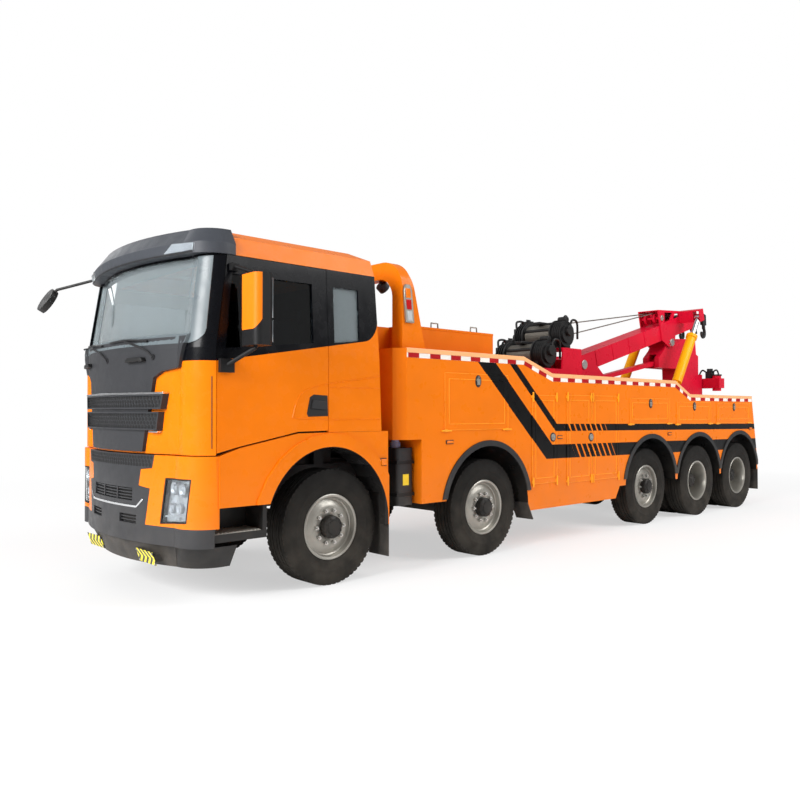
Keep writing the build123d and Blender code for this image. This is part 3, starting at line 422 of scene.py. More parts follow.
for n, x in AXLE_PLACES.items():
    y = TWIN_Y[0] if n in "45" else SINGLE_Y
    disc_loop, hub_loop, nut_face, cap_radius, cap_face = TWIN_WHEEL if n in "45" else SINGLE_WHEEL
    for side, sign in HANDS:
        body = f"wheel_{n}_{side}"
        disc, hub = turned(disc_loop, x, y), turned(hub_loop, x, y, 40)
        if sign < 0:
            disc, hub = mirrored(disc), mirrored(hub)
        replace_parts(piece(f"rim_disc_{n}_{side}", body, rim_silver, [disc]), f"rim_{n}_{side}")
        piece(f"hub_cap_{n}_{side}", body, hub_black, [hub])
        ring = bolt_circle(x, sign * (y + nut_face), NUT_CIRCLE, NUTS)
        repeated(f"wheel_nuts_{n}_{side}", body, nut_steel, ring, (19, 0, 26), 6)
        studs = [(Vector((spot.x, spot.y + sign * 0.016, spot.z)), turn) for spot, turn in ring]
        repeated(f"wheel_studs_{n}_{side}", body, nut_steel, studs, (9, 0, 26), 10)
        bolts = bolt_circle(x, sign * (y + cap_face), cap_radius, CAP_BOLTS, 0.5)
        repeated(f"hub_bolts_{n}_{side}", body, hub_black, bolts, (7, 0, 12), 6)

# Cab shell and doors: pressed steel in glossy orange paint with a gloss black window band, grey lining
# inside and black liners in the wheel arch. Panels are welded, and the doors hang on their front edge.

ORANGE = colour(233, 118, 8)
GLOSS_BLACK = colour(7, 8, 12)


def cab_marks(x, y, z):
    """The black window band above the belt line, and the grey lining on the inner side."""
    belt = x.spread(FRONT_AXLE - 0.458, FRONT_AXLE + 1.233, 2.263, 1.993)
    turn = x.spread(FRONT_AXLE - 0.478, FRONT_AXLE - 0.318, 1.0, 0.0)
    belt = belt + (1.0 - (1.0 - turn * turn).of("SQRT")) * 0.19
    nose = z.spread(2.1, 2.87, FRONT_AXLE + 1.555, FRONT_AXLE + 1.44)
    rear = z.spread(1.235, 2.87, FRONT_AXLE - 0.522, FRONT_AXLE - 0.458)
    half = z.spread(2.1, 2.87, 1.212, 1.172)
    inner = (x + y * y * 0.185 < nose - 0.03) * (x > rear + 0.03) * (abs(y) < half)
    return [(z > belt, GLOSS_BLACK), (inner, colour(46, 46, 49))]


def fender_marks(x, y, z):
    """Black inside the front wheel's arch."""
    across, up = (x - (FRONT_AXLE + 0.093)) / 0.682, (z - 0.56) / 0.708
    inner = (across * across + up * up < 1.004) | (abs(y) < 1.182)
    return [(inner * (x < FRONT_AXLE + 1.15), colour(24, 24, 25))]


def orange_finish(name, rough, grain=90, clear=0.05, mark=None):
    return surface(name, ORANGE, rough, mottle=0.06, bump=0.02, grain=grain, clear=clear, shine=0.12, mark=mark)


orange_paint = orange_finish("orange_paint", 0.3)
cab_paint = orange_finish("cab_paint", 0.26, clear=0.06, mark=cab_marks)
dress(cab_paint, "cab_front", "cab_rear_shell", "door_left", "door_right")
dress(orange_finish("fender_paint", 0.3, mark=fender_marks), "cab_lower_panels")
dress(orange_paint, "cab_roof", "lamp_arch")

# Windows: a laminated screen and tempered side glass, both with a faint grey tint; the screen and shell windows are
# pale and only partly clear, a painted reflection that keeps them bright. The screen is bonded to its frame, and the
# side panes are set in the doors and the rear shell.


def glassy(name, tint, rough=0.02, through=1.0):
    """Clear or tinted glass with a little unevenness on it."""
    made, tree, shader = new_material(name)
    place = object_place(tree)[0]
    join(shader.inputs["Base Color"], mixed(noise(place, 3.0), darker(tint, 0.9), tint))
    join(shader.inputs["Roughness"], noise(place, 14.0).spread(0.3, 0.7, rough, rough + 0.03))
    join(shader.inputs["Transmission Weight"], through)
    join(shader.inputs["IOR"], 1.45)
    return made


# Pale and only partly clear, so part of this glass's brightness comes from its colour: a painted reflection.
window_glass_painted_reflection = glassy("window_glass_painted_reflection", colour(206, 218, 222), through=0.8)
dress(window_glass_painted_reflection, "cab_windows")
dress(glassy("side_glass", colour(64, 70, 74)), "door_glass_left", "door_glass_right")

# Cab floor: pressed steel under a moulded black mat, welded to the shell.
# It carries the seats and the dashboard.

black_plastic = surface("black_plastic", colour(26, 26, 28), 0.55, bump=0.12, grain=420, dust=0.2)
dress(black_plastic, "cab_floor")

# Seats, bunk and dashboard: foam under dark woven cloth with sewn channels, and a moulded dashboard that
# carries the wheel. The seats stand on plinths bolted to the floor.


def cloth_finish(name, base):
    """Woven cloth: crossed threads as bump."""
    made = surface(name, base, 0.9, mottle=0.25, bump=0.0, dust=0.0)
    tree = made.node_tree
    place, x, y, z = object_place(tree)
    threads = (y * 2400.0).of("SINE") * ((x + z) * 2400.0).of("SINE")
    grained(tree.nodes["Principled BSDF"], threads, 0.35, 0.001)
    return made


seat_cloth = cloth_finish("seat_cloth", colour(62, 62, 68))
FLOOR_Z, SEAT_Y = 1470, 620


def cushion(middle, size, lean=0.0, channels=0, cuts=14):
    """A crowned pad with rounded edges and sewn channels across it, leaning back by an angle about y."""
    build = bmesh.new()
    bmesh.ops.create_cube(build, size=2.0)
    bmesh.ops.subdivide_edges(build, edges=build.edges, cuts=cuts, use_grid_fill=True)
    corners = []
    turn = math.radians(lean)
    for vert in build.verts:
        p = vert.co
        share = (abs(p.x) ** 5 + abs(p.y) ** 5 + abs(p.z) ** 5) ** 0.2
        p = p / share
        crown = 1.0 + 0.12 * (1 - p.x * p.x) * (1 - p.y * p.y)
        groove = 0.0
        if channels:
            groove = 0.06 * max(0.0, math.cos(p.y * math.pi * channels)) ** 12
        spot = Vector((p.x * size[0] / 2, p.y * size[1] / 2, p.z * size[2] / 2 * (crown - groove)))
        corners.append(at(
            middle[0] + spot.x * math.cos(turn) + spot.z * math.sin(turn),
            middle[1] + spot.y,
            middle[2] - spot.x * math.sin(turn) + spot.z * math.cos(turn),
        ))
    build.verts.index_update()
    faces = [tuple(v.index for v in face.verts) for face in build.faces]
    build.free()
    return corners, faces


pads = []
for y in (SEAT_Y, -SEAT_Y):
    pads.append(cushion((390, y, FLOOR_Z + 400), (500, 500, 130), -4, 3))
    pads.append(cushion((165, y, FLOOR_Z + 720), (560, 480, 110), 100, 3))
    pads.append(cushion((75, y, FLOOR_Z + 1010), (150, 260, 80), 100, 0, 8))
seats = piece("seat_pads", "truck", seat_cloth, pads, crease=70)
mattress = piece("bunk_pad", "truck", cloth_finish("bunk_cloth", colour(88, 86, 84)),
                 [cushion((-225, 0, FLOOR_Z + 360), (370, 2140, 110), 0, 5, 18)], crease=70)


def prism(outline, span):
    """An outline of (x, z) points pushed along y."""
    corners = [at(x, y, z) for y in span for x, z in outline]
    count = len(outline)
    faces = [tuple(range(count)), tuple(range(2 * count - 1, count - 1, -1))]
    for i in range(count):
        j = (i + 1) % count
        faces.append((i, j, j + count, i + count))
    return corners, faces


def tube(points, radius, sides=10):
    """A round bar or hose through points in millimetres."""
    spots = [at(*point) for point in points]
    corners, faces = [], []
    for i, spot in enumerate(spots):
        ahead = (spots[min(i + 1, len(spots) - 1)] - spots[max(i - 1, 0)]).normalized()
        across = ahead.cross(Vector((0, 1, 0)))
        if across.length < 0.2:
            across = ahead.cross(Vector((1, 0, 0)))
        across.normalize()
        over = across.cross(ahead)
        for k in range(sides):
            angle = 2 * math.pi * k / sides
            corners.append(spot + (across * math.cos(angle) + over * math.sin(angle)) * radius / 1000)
    for i in range(len(spots) - 1):
        for k in range(sides):
            m = (k + 1) % sides
            faces.append((i * sides + k, i * sides + m, (i + 1) * sides + m, (i + 1) * sides + k))
    faces.append(tuple(range(sides)))
    faces.append(tuple(range(len(corners) - 1, len(corners) - 1 - sides, -1)))
    return corners, faces


def block(x, y, z):
    """A box between (low, high) pairs."""
    corners = [at(a, b, c) for a in x for b in y for c in z]
    return corners, [(0, 1, 3, 2), (4, 6, 7, 5), (0, 4, 5, 1), (2, 3, 7, 6), (0, 2, 6, 4), (1, 5, 7, 3)]


plinth = [(200, FLOOR_Z), (560, FLOOR_Z), (520, FLOOR_Z + 330), (230, FLOOR_Z + 330)]
plinths = [prism(plinth, (y - 190, y + 190)) for y in (SEAT_Y, -SEAT_Y)]
plinths.append(block((-415, -40), (-1070, 1070), (FLOOR_Z, FLOOR_Z + 305)))
dash = [
    (1290, 0), (1298, 610), (1180, 665), (1050, 655), (965, 585), (960, 545), (1020, 420), (1190, 330), (1200, 0),
]
plinths.append(prism([(x, z + FLOOR_Z) for x, z in dash], (-945, 945)))
dash_plastic = surface("dash_plastic", colour(58, 58, 60), 0.6, bump=0.2, grain=500, dust=0)
dashboard = piece("dashboard", "truck", dash_plastic, plinths, bevel=18)
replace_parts(dashboard, "cab_interior")
WHEEL_HUB, GRIP_RADIUS = Vector((820, SEAT_Y, 2130)), 215
tilt = math.radians(52)
grip = []
for step in range(49):
    angle = 2 * math.pi * step / 48
    a, b = GRIP_RADIUS * math.cos(angle), GRIP_RADIUS * math.sin(angle)
    grip.append((WHEEL_HUB.x + a * math.cos(tilt), WHEEL_HUB.y + b, WHEEL_HUB.z + a * math.sin(tilt)))
wheel_bars = [tube(grip, 17), tube([WHEEL_HUB, (1040, SEAT_Y, 1960)], 34)]
wheel_bars += [tube([grip[i], WHEEL_HUB, grip[j]], 15) for i, j in ((12, 36), (0, 24))]
piece("steering_wheel", "truck", black_plastic, wheel_bars)

# Front skin: the cab's bowed face, given by levels, so that trim can be laid on it.
# Grille panel and bumper are moulded in dark grey plastic, with perforated intakes and bright strips.

CAB_BOW = 160
# Levels of the skin: height, half width, nose, and where the corner's round starts in x and ends in y.
CAB_LEVELS = [(1235, 1245, 1555, 1235, 930), (2100, 1245, 1555, 1235, 950), (2870, 1205, 1440, 1120, 930)]
SKIRT_LEVELS = [(490, 1235, 1590, 1200, 930), (1230, 1239, 1585, 1230, 930)]


def skin_x(levels, y, z, proud):
    """Where the front skin lies at a width and a height, stood off by proud."""
    for low, high in zip(levels, levels[1:]):
        if z <= high[0]:
            break
    share = min(max((z - low[0]) / (high[0] - low[0]), 0.0), 1.0)
    half, nose, start, end = [a + (b - a) * share for a, b in zip(low[1:], high[1:])]
    half, nose, start, end = half + proud, nose + proud, start + 0.3 * proud, end + 0.4 * proud
    side = nose - CAB_BOW
    y = abs(y)
    if y <= end:
        radius = (end ** 2 + CAB_BOW ** 2) / (2 * CAB_BOW)
        return nose - radius + math.sqrt(radius ** 2 - y ** 2)
    ax, ay, bx, by = start, half, start + 0.72 * (side - start), end + 0.72 * (half - end)
    d = 2 * (ax * (by - end) + bx * (end - ay) + side * (ay - by))
    sa, sb, sc = ax ** 2 + ay ** 2, bx ** 2 + by ** 2, side ** 2 + end ** 2
    cx = (sa * (by - end) + sb * (end - ay) + sc * (ay - by)) / d
    cy = (sa * (side - bx) + sb * (ax - side) + sc * (bx - ax)) / d
    reach = (ax - cx) ** 2 + (ay - cy) ** 2 - (y - cy) ** 2
    return cx + math.sqrt(max(reach, 0.0))


def skin_slab(levels, corners, proud, thick, across=20, up=1):
    """A slab laid on the front skin between four (y, z) corners, in order round its edge."""
    (y0, z0), (y1, z1), (y2, z2), (y3, z3) = corners
    points, faces = [], []
    for back in (0, thick):
        for j in range(up + 1):
            v = j / up
            for i in range(across + 1):
                u = i / across
                y = (y0 + (y1 - y0) * u) * (1 - v) + (y3 + (y2 - y3) * u) * v
                z = (z0 + (z1 - z0) * u) * (1 - v) + (z3 + (z2 - z3) * u) * v
                points.append(at(skin_x(levels, y, z, proud) - back, y, z))
    row, layer = across + 1, (across + 1) * (up + 1)
    for j in range(up):
        for i in range(across):
            a = j * row + i
            faces.append((a, a + 1, a + row + 1, a + row))
            faces.append((a + layer, a + layer + row, a + layer + row + 1, a + layer + 1))
    for i in range(across):
        faces.append((i, i + layer, i + layer + 1, i + 1))
        top = up * row + i
        faces.append((top, top + 1, top + layer + 1, top + layer))
    for j in range(up):
        a, b = j * row, j * row + across
        faces.append((a, a + row, a + row + layer, a + layer))
        faces.append((b, b + layer, b + row + layer, b + row))
    return points, faces


def level_slab(levels, half_low, half_high, z, proud, thick, across=28):
    corners = [(-half_low, z[0]), (half_low, z[0]), (half_high, z[1]), (-half_high, z[1])]
    return skin_slab(levels, corners, proud, thick, across)


def trim_marks(x, y, z):
    """The entry steps and the skid below the bumper are black."""
    return [((x < FRONT_AXLE + 1.236) | (z < 0.492), colour(24, 24, 25))]


def grey_finish(name, mark=None):
    return surface(name, colour(48, 49, 52), 0.45, bump=0.1, grain=420, dust=0.08, shine=0.3, mark=mark)


panel_grey = grey_finish("panel_grey")
trim_grey = grey_finish("trim_grey", trim_marks)
mesh_black = surface("mesh_black", colour(14, 14, 15), 0.6, bump=0.1)
bright_trim = surface("bright_trim", colour(222, 224, 226), 0.16, metal=1.0, mottle=0.04, dust=0.05)
dress(trim_grey, "front_trim")
strips = [
    level_slab(CAB_LEVELS, 830, 833, (1731, 1746), 52, 50),
    level_slab(SKIRT_LEVELS, 470, 470, (776, 794), 5, 5),
]
for side in (1, -1):
    wing = [(side * 470, 776), (side * 566, 850), (side * 552, 860), (side * 470, 794)]
    strips.append(skin_slab(SKIRT_LEVELS, wing, 5, 5, 8))
    tick = [(side * 640, 1412), (side * 745, 1412), (side * 752, 1426), (side * 640, 1426)]
    strips.append(skin_slab(CAB_LEVELS, tick, 40, 38, 6))
piece("bright_strips", "truck", bright_trim, strips, bevel=2)
backs = [level_slab(SKIRT_LEVELS, 402, 402, (834, 936), -32, 4)]
for side in (1, -1):
    pocket = [(side * 203, 646), (side * 462, 646), (side * 462, 711), (side * 203, 711)]
    backs.append(skin_slab(SKIRT_LEVELS, pocket, -31, 4, 8))
piece("intake_backs", "truck", mesh_black, backs)
# Perforated fields: skin, lower and upper edge, half width at each, and how proud they stand.
PERFORATED = [
    (CAB_LEVELS, 1444, 1570, 742, 764, 36), (CAB_LEVELS, 1620, 1716, 788, 816, 36),
    (SKIRT_LEVELS, 1126, 1218, 660, 686, 0),
]
holes = []
for levels, low, high, half_low, half_high, proud in PERFORATED:
    rows = round((high - low) / 34)
    for row in range(rows):
        z = low + (row + 0.5) * (high - low) / rows
        half = half_low + (half_high - half_low) * (z - low) / (high - low)
        count = int(2 * half / 42)
        for i in range(count):
            y = -half + (i + 0.5 + 0.5 * (row % 2)) * 2 * half / count
            if abs(y) < half - 16:
                swing = math.asin(max(-0.9, min(0.9, y / 2700)))
                holes.append((at(skin_x(levels, y, z, proud), y, z), (0.0, math.pi / 2, swing)))
repeated("mesh_openings", "truck", mesh_black, holes, (16.5, 0, 3), 6)
bars = []
for z in (846, 872, 898, 924):
    bars.append(level_slab(SKIRT_LEVELS, 402, 402, (z - 5, z + 5), -12, 20))
for y in (-405, -140, 140, 405):
    bars.append(skin_slab(SKIRT_LEVELS, [(y - 9, 832), (y + 9, 832), (y + 9, 938), (y - 9, 938)], -6, 26, 2))
for side in (1, -1):
    for z in (664, 690):
        bar = [(side * 203, z - 4), (side * 462, z - 4), (side * 462, z + 4), (side * 203, z + 4)]
        bars.append(skin_slab(SKIRT_LEVELS, bar, -12, 18, 8))
piece("lower_bars", "truck", panel_grey, bars)

# Skid plate: folded black steel under the bumper, with two yellow and black hazard boards.
# Each board is screwed on and has a black bracket behind it.


def hazard_marks(x, y, z):
    """Black chevrons that point outwards."""
    slant = abs(y) + abs(z - 0.37) * 1.1
    return [((slant * 13.0).of("FRACT") > 0.5, colour(20, 20, 20))]


def wide(sign, near, far):
    """Low and high y of something on one side of the truck."""
    return sorted((sign * near, sign * far))


hazard = surface("hazard_board", colour(240, 224, 36), 0.35, mottle=0.08, dust=0.15, mark=hazard_marks)
SKID_LEVELS = [(300, 1060, 1500, 1040, 800), (490, 1180, 1560, 1160, 900)]
BOARD_FOOT, BOARD_HEAD = [(skin_x(SKID_LEVELS, 365, z, 8), z) for z in (312, 428)]
ALONG_X = (0.0, math.pi / 2, 0.0)
BOARD_X = (BOARD_FOOT[0] + BOARD_HEAD[0]) / 2
boards, brackets, screws = [], [], []
board = [BOARD_FOOT, BOARD_HEAD] + [(x - 5, z) for x, z in (BOARD_HEAD, BOARD_FOOT)]
for sign in (1, -1):
    boards.append(prism(board, wide(sign, 390, 712)))
    brackets.append(block((BOARD_X - 110, BOARD_X - 14), wide(sign, 630, 680), (340, 400)))
    for y in (404, 698):
        for x, z in (BOARD_FOOT, BOARD_HEAD):
            screws.append((at(x + (BOARD_X - x) * 0.25, sign * y, z + (370 - z) * 0.25), ALONG_X))
piece("hazard_boards", "truck", hazard, boards, bevel=2)
piece("board_brackets", "truck", black_plastic, brackets)
skid_skin = level_slab(SKID_LEVELS, 800, 895, (302, 488), 2, 4, 32)
piece("skid_face", "truck", black_plastic, [skid_skin])
repeated("board_screws", "truck", nut_steel, screws, (8, 0, 8), 8)

# Headlamps and roof lamps: clear polycarbonate covers over housings and projector bowls in a pale, half-metallic
# silver, whose brightness is partly a painted reflection. The covers clip into the corner panels, and the small ones
# are set in the visor's ends.

lamp_clear = glassy("lamp_clear", colour(236, 240, 242), 0.03)
# Silver, but paler and less metallic than a chrome reflector, so part of the bowls' brightness is a painted
# reflection.
bowl_silver_painted_reflection = surface("bowl_silver_painted_reflection", colour(214, 218, 224), 0.22, metal=0.35, mottle=0.16, dust=0, shine=0.6)
VISOR_LEVELS = [(2870, 1212, 1530, 1090, 960), (2960, 1212, 1540, 1090, 960), (3090, 1130, 1450, 1060, 900)]
LAMP_CORNERS = [(770, 668), (1088, 693), (1128, 1042), (827, 1042)]
covers, housings, bowls = [], [], []
for side in (1, -1):
    corners = [(side * y, z) for y, z in LAMP_CORNERS]
    covers.append(skin_slab(SKIRT_LEVELS, corners, -8, 6, 16, 6))
    housings.append(skin_slab(SKIRT_LEVELS, corners, -52, 8, 16, 6))
    visor = [(side * 740, 2888), (side * 1075, 2892), (side * 1085, 2948), (side * 840, 2962)]
    covers.append(skin_slab(VISOR_LEVELS, visor, 7, 5, 14, 2))
    housings.append(skin_slab(VISOR_LEVELS, visor, 2, 3, 14, 2))
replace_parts(piece("lamp_covers", "truck", lamp_clear, covers), "lamps")
piece("lamp_backs", "truck", bowl_silver_painted_reflection, housings)
LAMP_Y, LAMP_Z = [sum(values) / 4 for values in zip(*LAMP_CORNERS)]
bezel = []
for side in (1, -1):
    for start, end in zip(LAMP_CORNERS, LAMP_CORNERS[1:] + LAMP_CORNERS[:1]):
        inner = [(y + (LAMP_Y - y) * 0.07, z + (LAMP_Z - z) * 0.06) for y, z in (end, start)]
        corners = [(side * y, z) for y, z in [start, end] + inner]
        bezel.append(skin_slab(SKIRT_LEVELS, corners, -1, 52, 10))
piece("lamp_bezels_front", "truck", mesh_black, bezel)


def bowl_x(levels, y, z, radius, proud, depth, steps=28):
    """A round reflector that faces forward, with a lens in its middle."""
    front = skin_x(levels, y, z, proud)
    loop = [
        (radius, 0), (radius * 0.92, 0), (radius * 0.55, -depth), (radius * 0.5, -depth * 0.5),
        (radius * 0.3, -depth * 0.25), (2, -depth * 0.2), (2, -depth - 8), (radius, -depth - 8),
    ]
    corners = []
    for step in range(steps):
        angle = 2 * math.pi * step / steps
        for r, dx in loop:
            corners.append(at(front + dx, y + r * math.cos(angle), z + r * math.sin(angle)))
    return corners, ring_faces(steps, len(loop))


for side in (1, -1):
    for y, z, r in ((885, 960, 56), (1010, 950, 56), (860, 800, 44), (960, 800, 44)):
        bowls.append(bowl_x(SKIRT_LEVELS, side * y, z, r, -26, 22))
    light_bar = [(side * 800, 722), (side * 1070, 738), (side * 1075, 752), (side * 803, 736)]
    bowls.append(skin_slab(SKIRT_LEVELS, light_bar, -22, 10, 10))
piece("lamp_bowls", "truck", bowl_silver_painted_reflection, bowls)

# Visor: moulded dark grey plastic over the screen, bolted to the roof's front edge.
# The long-armed front mirror is fixed on its right end.


def visor_marks(x, y, z):
    """The front mirror and its arms, outside the visor's right end, are black."""
    return [(y < -1.0 - z.spread(2.9, 2.97, 0.06, 0.22), colour(26, 25, 25))]


visor_grey = surface(
    "visor_grey", colour(58, 61, 67), 0.48, bump=0.12, grain=380, dust=0, shine=0.35, mark=visor_marks,
)
dress(visor_grey, "roof_visor")
lip = level_slab(VISOR_LEVELS, 1060, 1060, (2872, 2886), 4, 30)
piece("visor_lip", "truck", black_plastic, [lip], bevel=2)

# Screen edge: the rim of the bent screen, which laps the pillars and the panel under it. Laminated glass,
# bonded on, with a large round in its lower corners; it is drawn opaque, in a blue-grey that is a painted reflection.

screen_rim_painted_reflection = surface("screen_rim_painted_reflection", colour(98, 107, 111), 0.3, mottle=0.12, bump=0.0, dust=0, shine=0.3)
EDGE_LEVELS = [2138, 2150, 2166, 2202, 2216, 2250, 2400, 2600, 2850]
PANEL_TOP, SCREEN_FOOT = 2202, 2216
CORNER_Z, CORNER_ROUND, CORNER_DROP = 2250, 110, 112


def screen_half(z):
    """Half the glass's width at a height."""
    drop = max(0.0, (CORNER_Z - z) / CORNER_DROP)
    round_off = CORNER_ROUND * (1 - math.sqrt(max(0.0, 1 - drop ** 2)))
    return 1196 - 0.06 * (z - CORNER_Z) - round_off


def opening_half(z):
    """Half the width of the panel's top, and of the screen's opening above it."""
    return 1083 + (0.4 if z < 2190 else -0.06) * (z - 2190)


laps = []
for low, high in zip(EDGE_LEVELS, EDGE_LEVELS[1:]):
    foot, head = opening_half(low), opening_half(high)
    if high <= SCREEN_FOOT:
        proud = 33 if high <= PANEL_TOP else 18
        laps.append(level_slab(CAB_LEVELS, foot + 9, head + 9, (low, high), proud, 32, 40))
    rim = [(foot, low), (screen_half(low), low), (screen_half(high), high), (head, high)]
    for side in (1, -1):
        laps.append(skin_slab(CAB_LEVELS, [(side * y, z) for y, z in rim], 5, 4, 6))
piece("screen_edges", "truck", screen_rim_painted_reflection, laps)

# Wipers: two black steel arms with rubber blades that lie along the foot of the screen. They pivot on the
# grille panel, near two moulded black covers.

PIVOT_Z, ELBOW_Z = 2038, 2110


def bent(points, steps=6):
    """Points along a smooth bend through the given ones."""
    line = [Vector(point) for point in points]
    line = [2 * line[0] - line[1]] + line + [2 * line[-1] - line[-2]]
    run = []
    for i in range(1, len(line) - 2):
        p, q, r, s = line[i - 1:i + 3]
        square, cube = 2 * p - 5 * q + 4 * r - s, 3 * q - p - 3 * r + s
        for k in range(steps):
            t = k / steps
            run.append(0.5 * (2 * q + (r - p) * t + square * t ** 2 + cube * t ** 3))
    return run + [line[-2]]


wiper_bars, cowls = [], []
for pivot, (y0, z0), (y1, z1) in ((-80, (-1060, 2206), (-200, 2178)), (680, (0, 2190), (620, 2172))):
    blade = []
    for step in range(13):
        share = step / 12
        y, z = y0 + (y1 - y0) * share, z0 + (z1 - z0) * share + 14 * math.sin(math.pi * share)
        blade.append((skin_x(CAB_LEVELS, y, z, 48), y, z))
    foot = (skin_x(CAB_LEVELS, pivot, PIVOT_Z, 34), pivot, PIVOT_Z)
    x, y, z = blade[5]
    elbow_y = pivot * 0.75 + y * 0.25
    elbow = (skin_x(CAB_LEVELS, elbow_y, ELBOW_Z, 46), elbow_y, ELBOW_Z)
    wiper_bars.append(tube(blade, 9, 8))
    wiper_bars.append(tube(bent([foot, elbow, (x + 12, y, z)]), 9, 8))
    wiper_bars.append(tube([foot, (foot[0] - 60, foot[1], foot[2] - 4)], 26, 14))
for y0, y1 in ((-900, -600), (330, 600)):
    rim = [(y0, 2000), (y1, 2004), (y1 - 20, 2040), (y0 + 40, 2040)]
    cowls.append(skin_slab(CAB_LEVELS, rim, 74, 76, 8, 2))
piece("wiper_cowls", "truck", mesh_black, cowls, bevel=10)
piece("wipers", "truck", black_plastic, wiper_bars)

# Mirrors: black plastic housings on brackets bolted to the doors, with an orange painted shell over the front
# of each. Silvered panes are set in their backs.


def mirror_marks(x, y, z):
    """The orange shell covers the front of the housing, down to a slanting cut."""
    cut = (FRONT_AXLE + 1.085 - x) * 1.4 + 2.235
    shell = (x > FRONT_AXLE + 1.03) * (abs(y) > 1.343) * (z > cut) * (z < 2.682)
    return [(shell, ORANGE)]


mirror_shell = surface(
    "mirror_shell", colour(24, 24, 25), 0.5, bump=0.06, grain=300, dust=0, shine=0.2, mark=mirror_marks,
)
mirror_glass = surface("mirror_glass", colour(206, 212, 216), 0.05, metal=1.0, mottle=0.03, bump=0.0, dust=0)
for side, sign in HANDS:
    dress(mirror_shell, f"mirror_{side}")
    panes = []
    for low, high in ((2330, 2650), (2140, 2310)):
        panes.append(block((913, 921), wide(sign, 1372, 1574), (low, high)))
    piece(f"mirror_panes_{side}", f"door_{side}", mirror_glass, panes, bevel=3)

# Door furniture: a black pull handle in its cup, and a moulded crease over the wheel arch. The crease and
# the panel's seams run on over the shell behind the door.

CAB_SIDE = 1245
cup = [(121, 1545), (128, 1728), (282, 1735), (318, 1712), (352, 1566), (338, 1540)]
handle = [(140, 1600), (140, 1672), (292, 1690), (310, 1612)]
crease = [(500, 1530), (470, 1640), (430, 1722), (378, 1768), (290, 1800), (117, 1835)]
DOOR_LINES = [(crease, 6), ([(488, 1528), (118, 1512)], 5)]
SHELL_LINES = [
    ([(106, 1837), (-250, 1885), (-494, 1920)], 6), ([(106, 1512), (-500, 1515)], 5),
    ([(106, 1803), (-496, 1803)], 4),
]
for side, sign in HANDS:
    door = f"door_{side}"
    piece(f"handle_cup_{side}", door, mesh_black, [prism(cup, wide(sign, 1243, 1250))], bevel=4)
    pull = prism(handle, wide(sign, 1249, 1262))
    piece(f"door_pull_{side}", door, black_plastic, [pull], bevel=5)
    for name, body, runs in (("door_crease", door, DOOR_LINES), ("shell_crease", "truck", SHELL_LINES)):
        ridges = [tube([(x, sign * CAB_SIDE, z) for x, z in run], radius, 6) for run, radius in runs]
        piece(f"{name}_{side}", body, orange_paint, ridges)

# Steps and side markers: ribbed alloy treads screwed on the black entry steps, and amber lamps in black bases
# along the sides. A dark seam runs down each front corner of the cab.

MARKERS = [(-1451, 1269), (-3364, 1276), (-6029, 1262), (-8760, 1300)]
SEAM_Y = 1232
step_plates, amber_lamps, lamp_bases, seams = [], [], [], []
for sign in (1, -1):
    step_plates.append(block((795, 1232), wide(sign, 945, 1210), (594, 601)))
    amber_lamps.append(block((-560, -500), wide(sign, 1258, 1272), (1075, 1135)))
    lamp_bases.append(block((-568, -492), wide(sign, 1254, 1262), (1067, 1143)))
    for x, z in MARKERS:
        amber_lamps.append(block((x - 45, x + 45), wide(sign, 1250, 1260), (z - 13, z + 13)))
        lamp_bases.append(block((x - 54, x + 54), wide(sign, 1242, 1253), (z - 21, z + 21)))
    seam = [(skin_x(CAB_LEVELS, SEAM_Y, z, 0), sign * SEAM_Y, z) for z in (1290, 1500, 1700, 1868)]
    seams.append(tube(seam, 4, 6))
piece("corner_seams", "truck", mesh_black, seams)
piece("step_treads", "truck", rim_silver, step_plates, bevel=2)
ALONG_Z = (0.0, 0.0, 0.0)
ribs = [(at(x, sign * 1078, 603), ALONG_Z) for x in range(812, 1226, 34) for sign in (1, -1)]
repeated("step_ribs", "truck", rim_silver, ribs, (12, 250, 8))
amber = glassy("amber_lens", colour(246, 126, 4), 0.12, 0.08)
piece("side_markers", "truck", amber, amber_lamps, bevel=3)
piece("marker_bases", "truck", black_plastic, lamp_bases, bevel=3)
dress(black_plastic, "mudguards")

# Recovery body: folded steel lockers in the cab's orange, with black stripes laid over the doors, black
# arch linings, and red and white reflecting tape under a top flange whose pale orange is a painted highlight.

ARCHES = [AXLE_PLACES[n] / 1000 + 0.04 + FRONT_AXLE for n in "2345"]


def body_marks(x, y, z):
    """Arch linings and the two stripes, which run down at a slant and then along the body."""
    def between(value, low, high):
        return (value > low) * (value < high)

    level = z - (x - (FRONT_AXLE - 3.2)) * 0.011
    slant = x - (z - 2.125) * 1.1
    thick = between(level, 1.023, 1.191) * (slant < FRONT_AXLE - 1.887)
    thin = between(level, 1.35, 1.438) * (slant < FRONT_AXLE - 2.425)
    down = between(slant, FRONT_AXLE - 2.184, FRONT_AXLE - 1.887) * between(level, 1.023, 2.126)
    down_thin = between(slant, FRONT_AXLE - 2.549, FRONT_AXLE - 2.425) * between(level, 1.35, 2.126)
    steep = x - (z - 1.4) * 0.6
    cuts = ((steep * 8.8).of("FRACT") < 0.27) * between(steep, FRONT_AXLE - 4.36, FRONT_AXLE - 3.47)
    stripes = (thick | thin | down | down_thin) * (1.0 - cuts) * (abs(y) > 1.24)
    up = z - WHEEL_Z / 1000
    lining = None
    for middle in ARCHES:
        away = x - middle
        near = away * away + up * up < 0.682 ** 2
        lining = lining | near if lining else near
    return [(stripes, colour(6, 6, 7)), (lining, colour(16, 16, 17))]


body_paint = orange_finish("body_paint", 0.32, grain=70, mark=body_marks)
dress(body_paint, "tool_cabinets", "locker_doors")
BODY_Y = 1244
TOP_EDGE = [(-847, 2212), (-2678, 2212), (-3224, 2035), (-6207, 2030), (-6659, 1838), (-8827, 1838)]
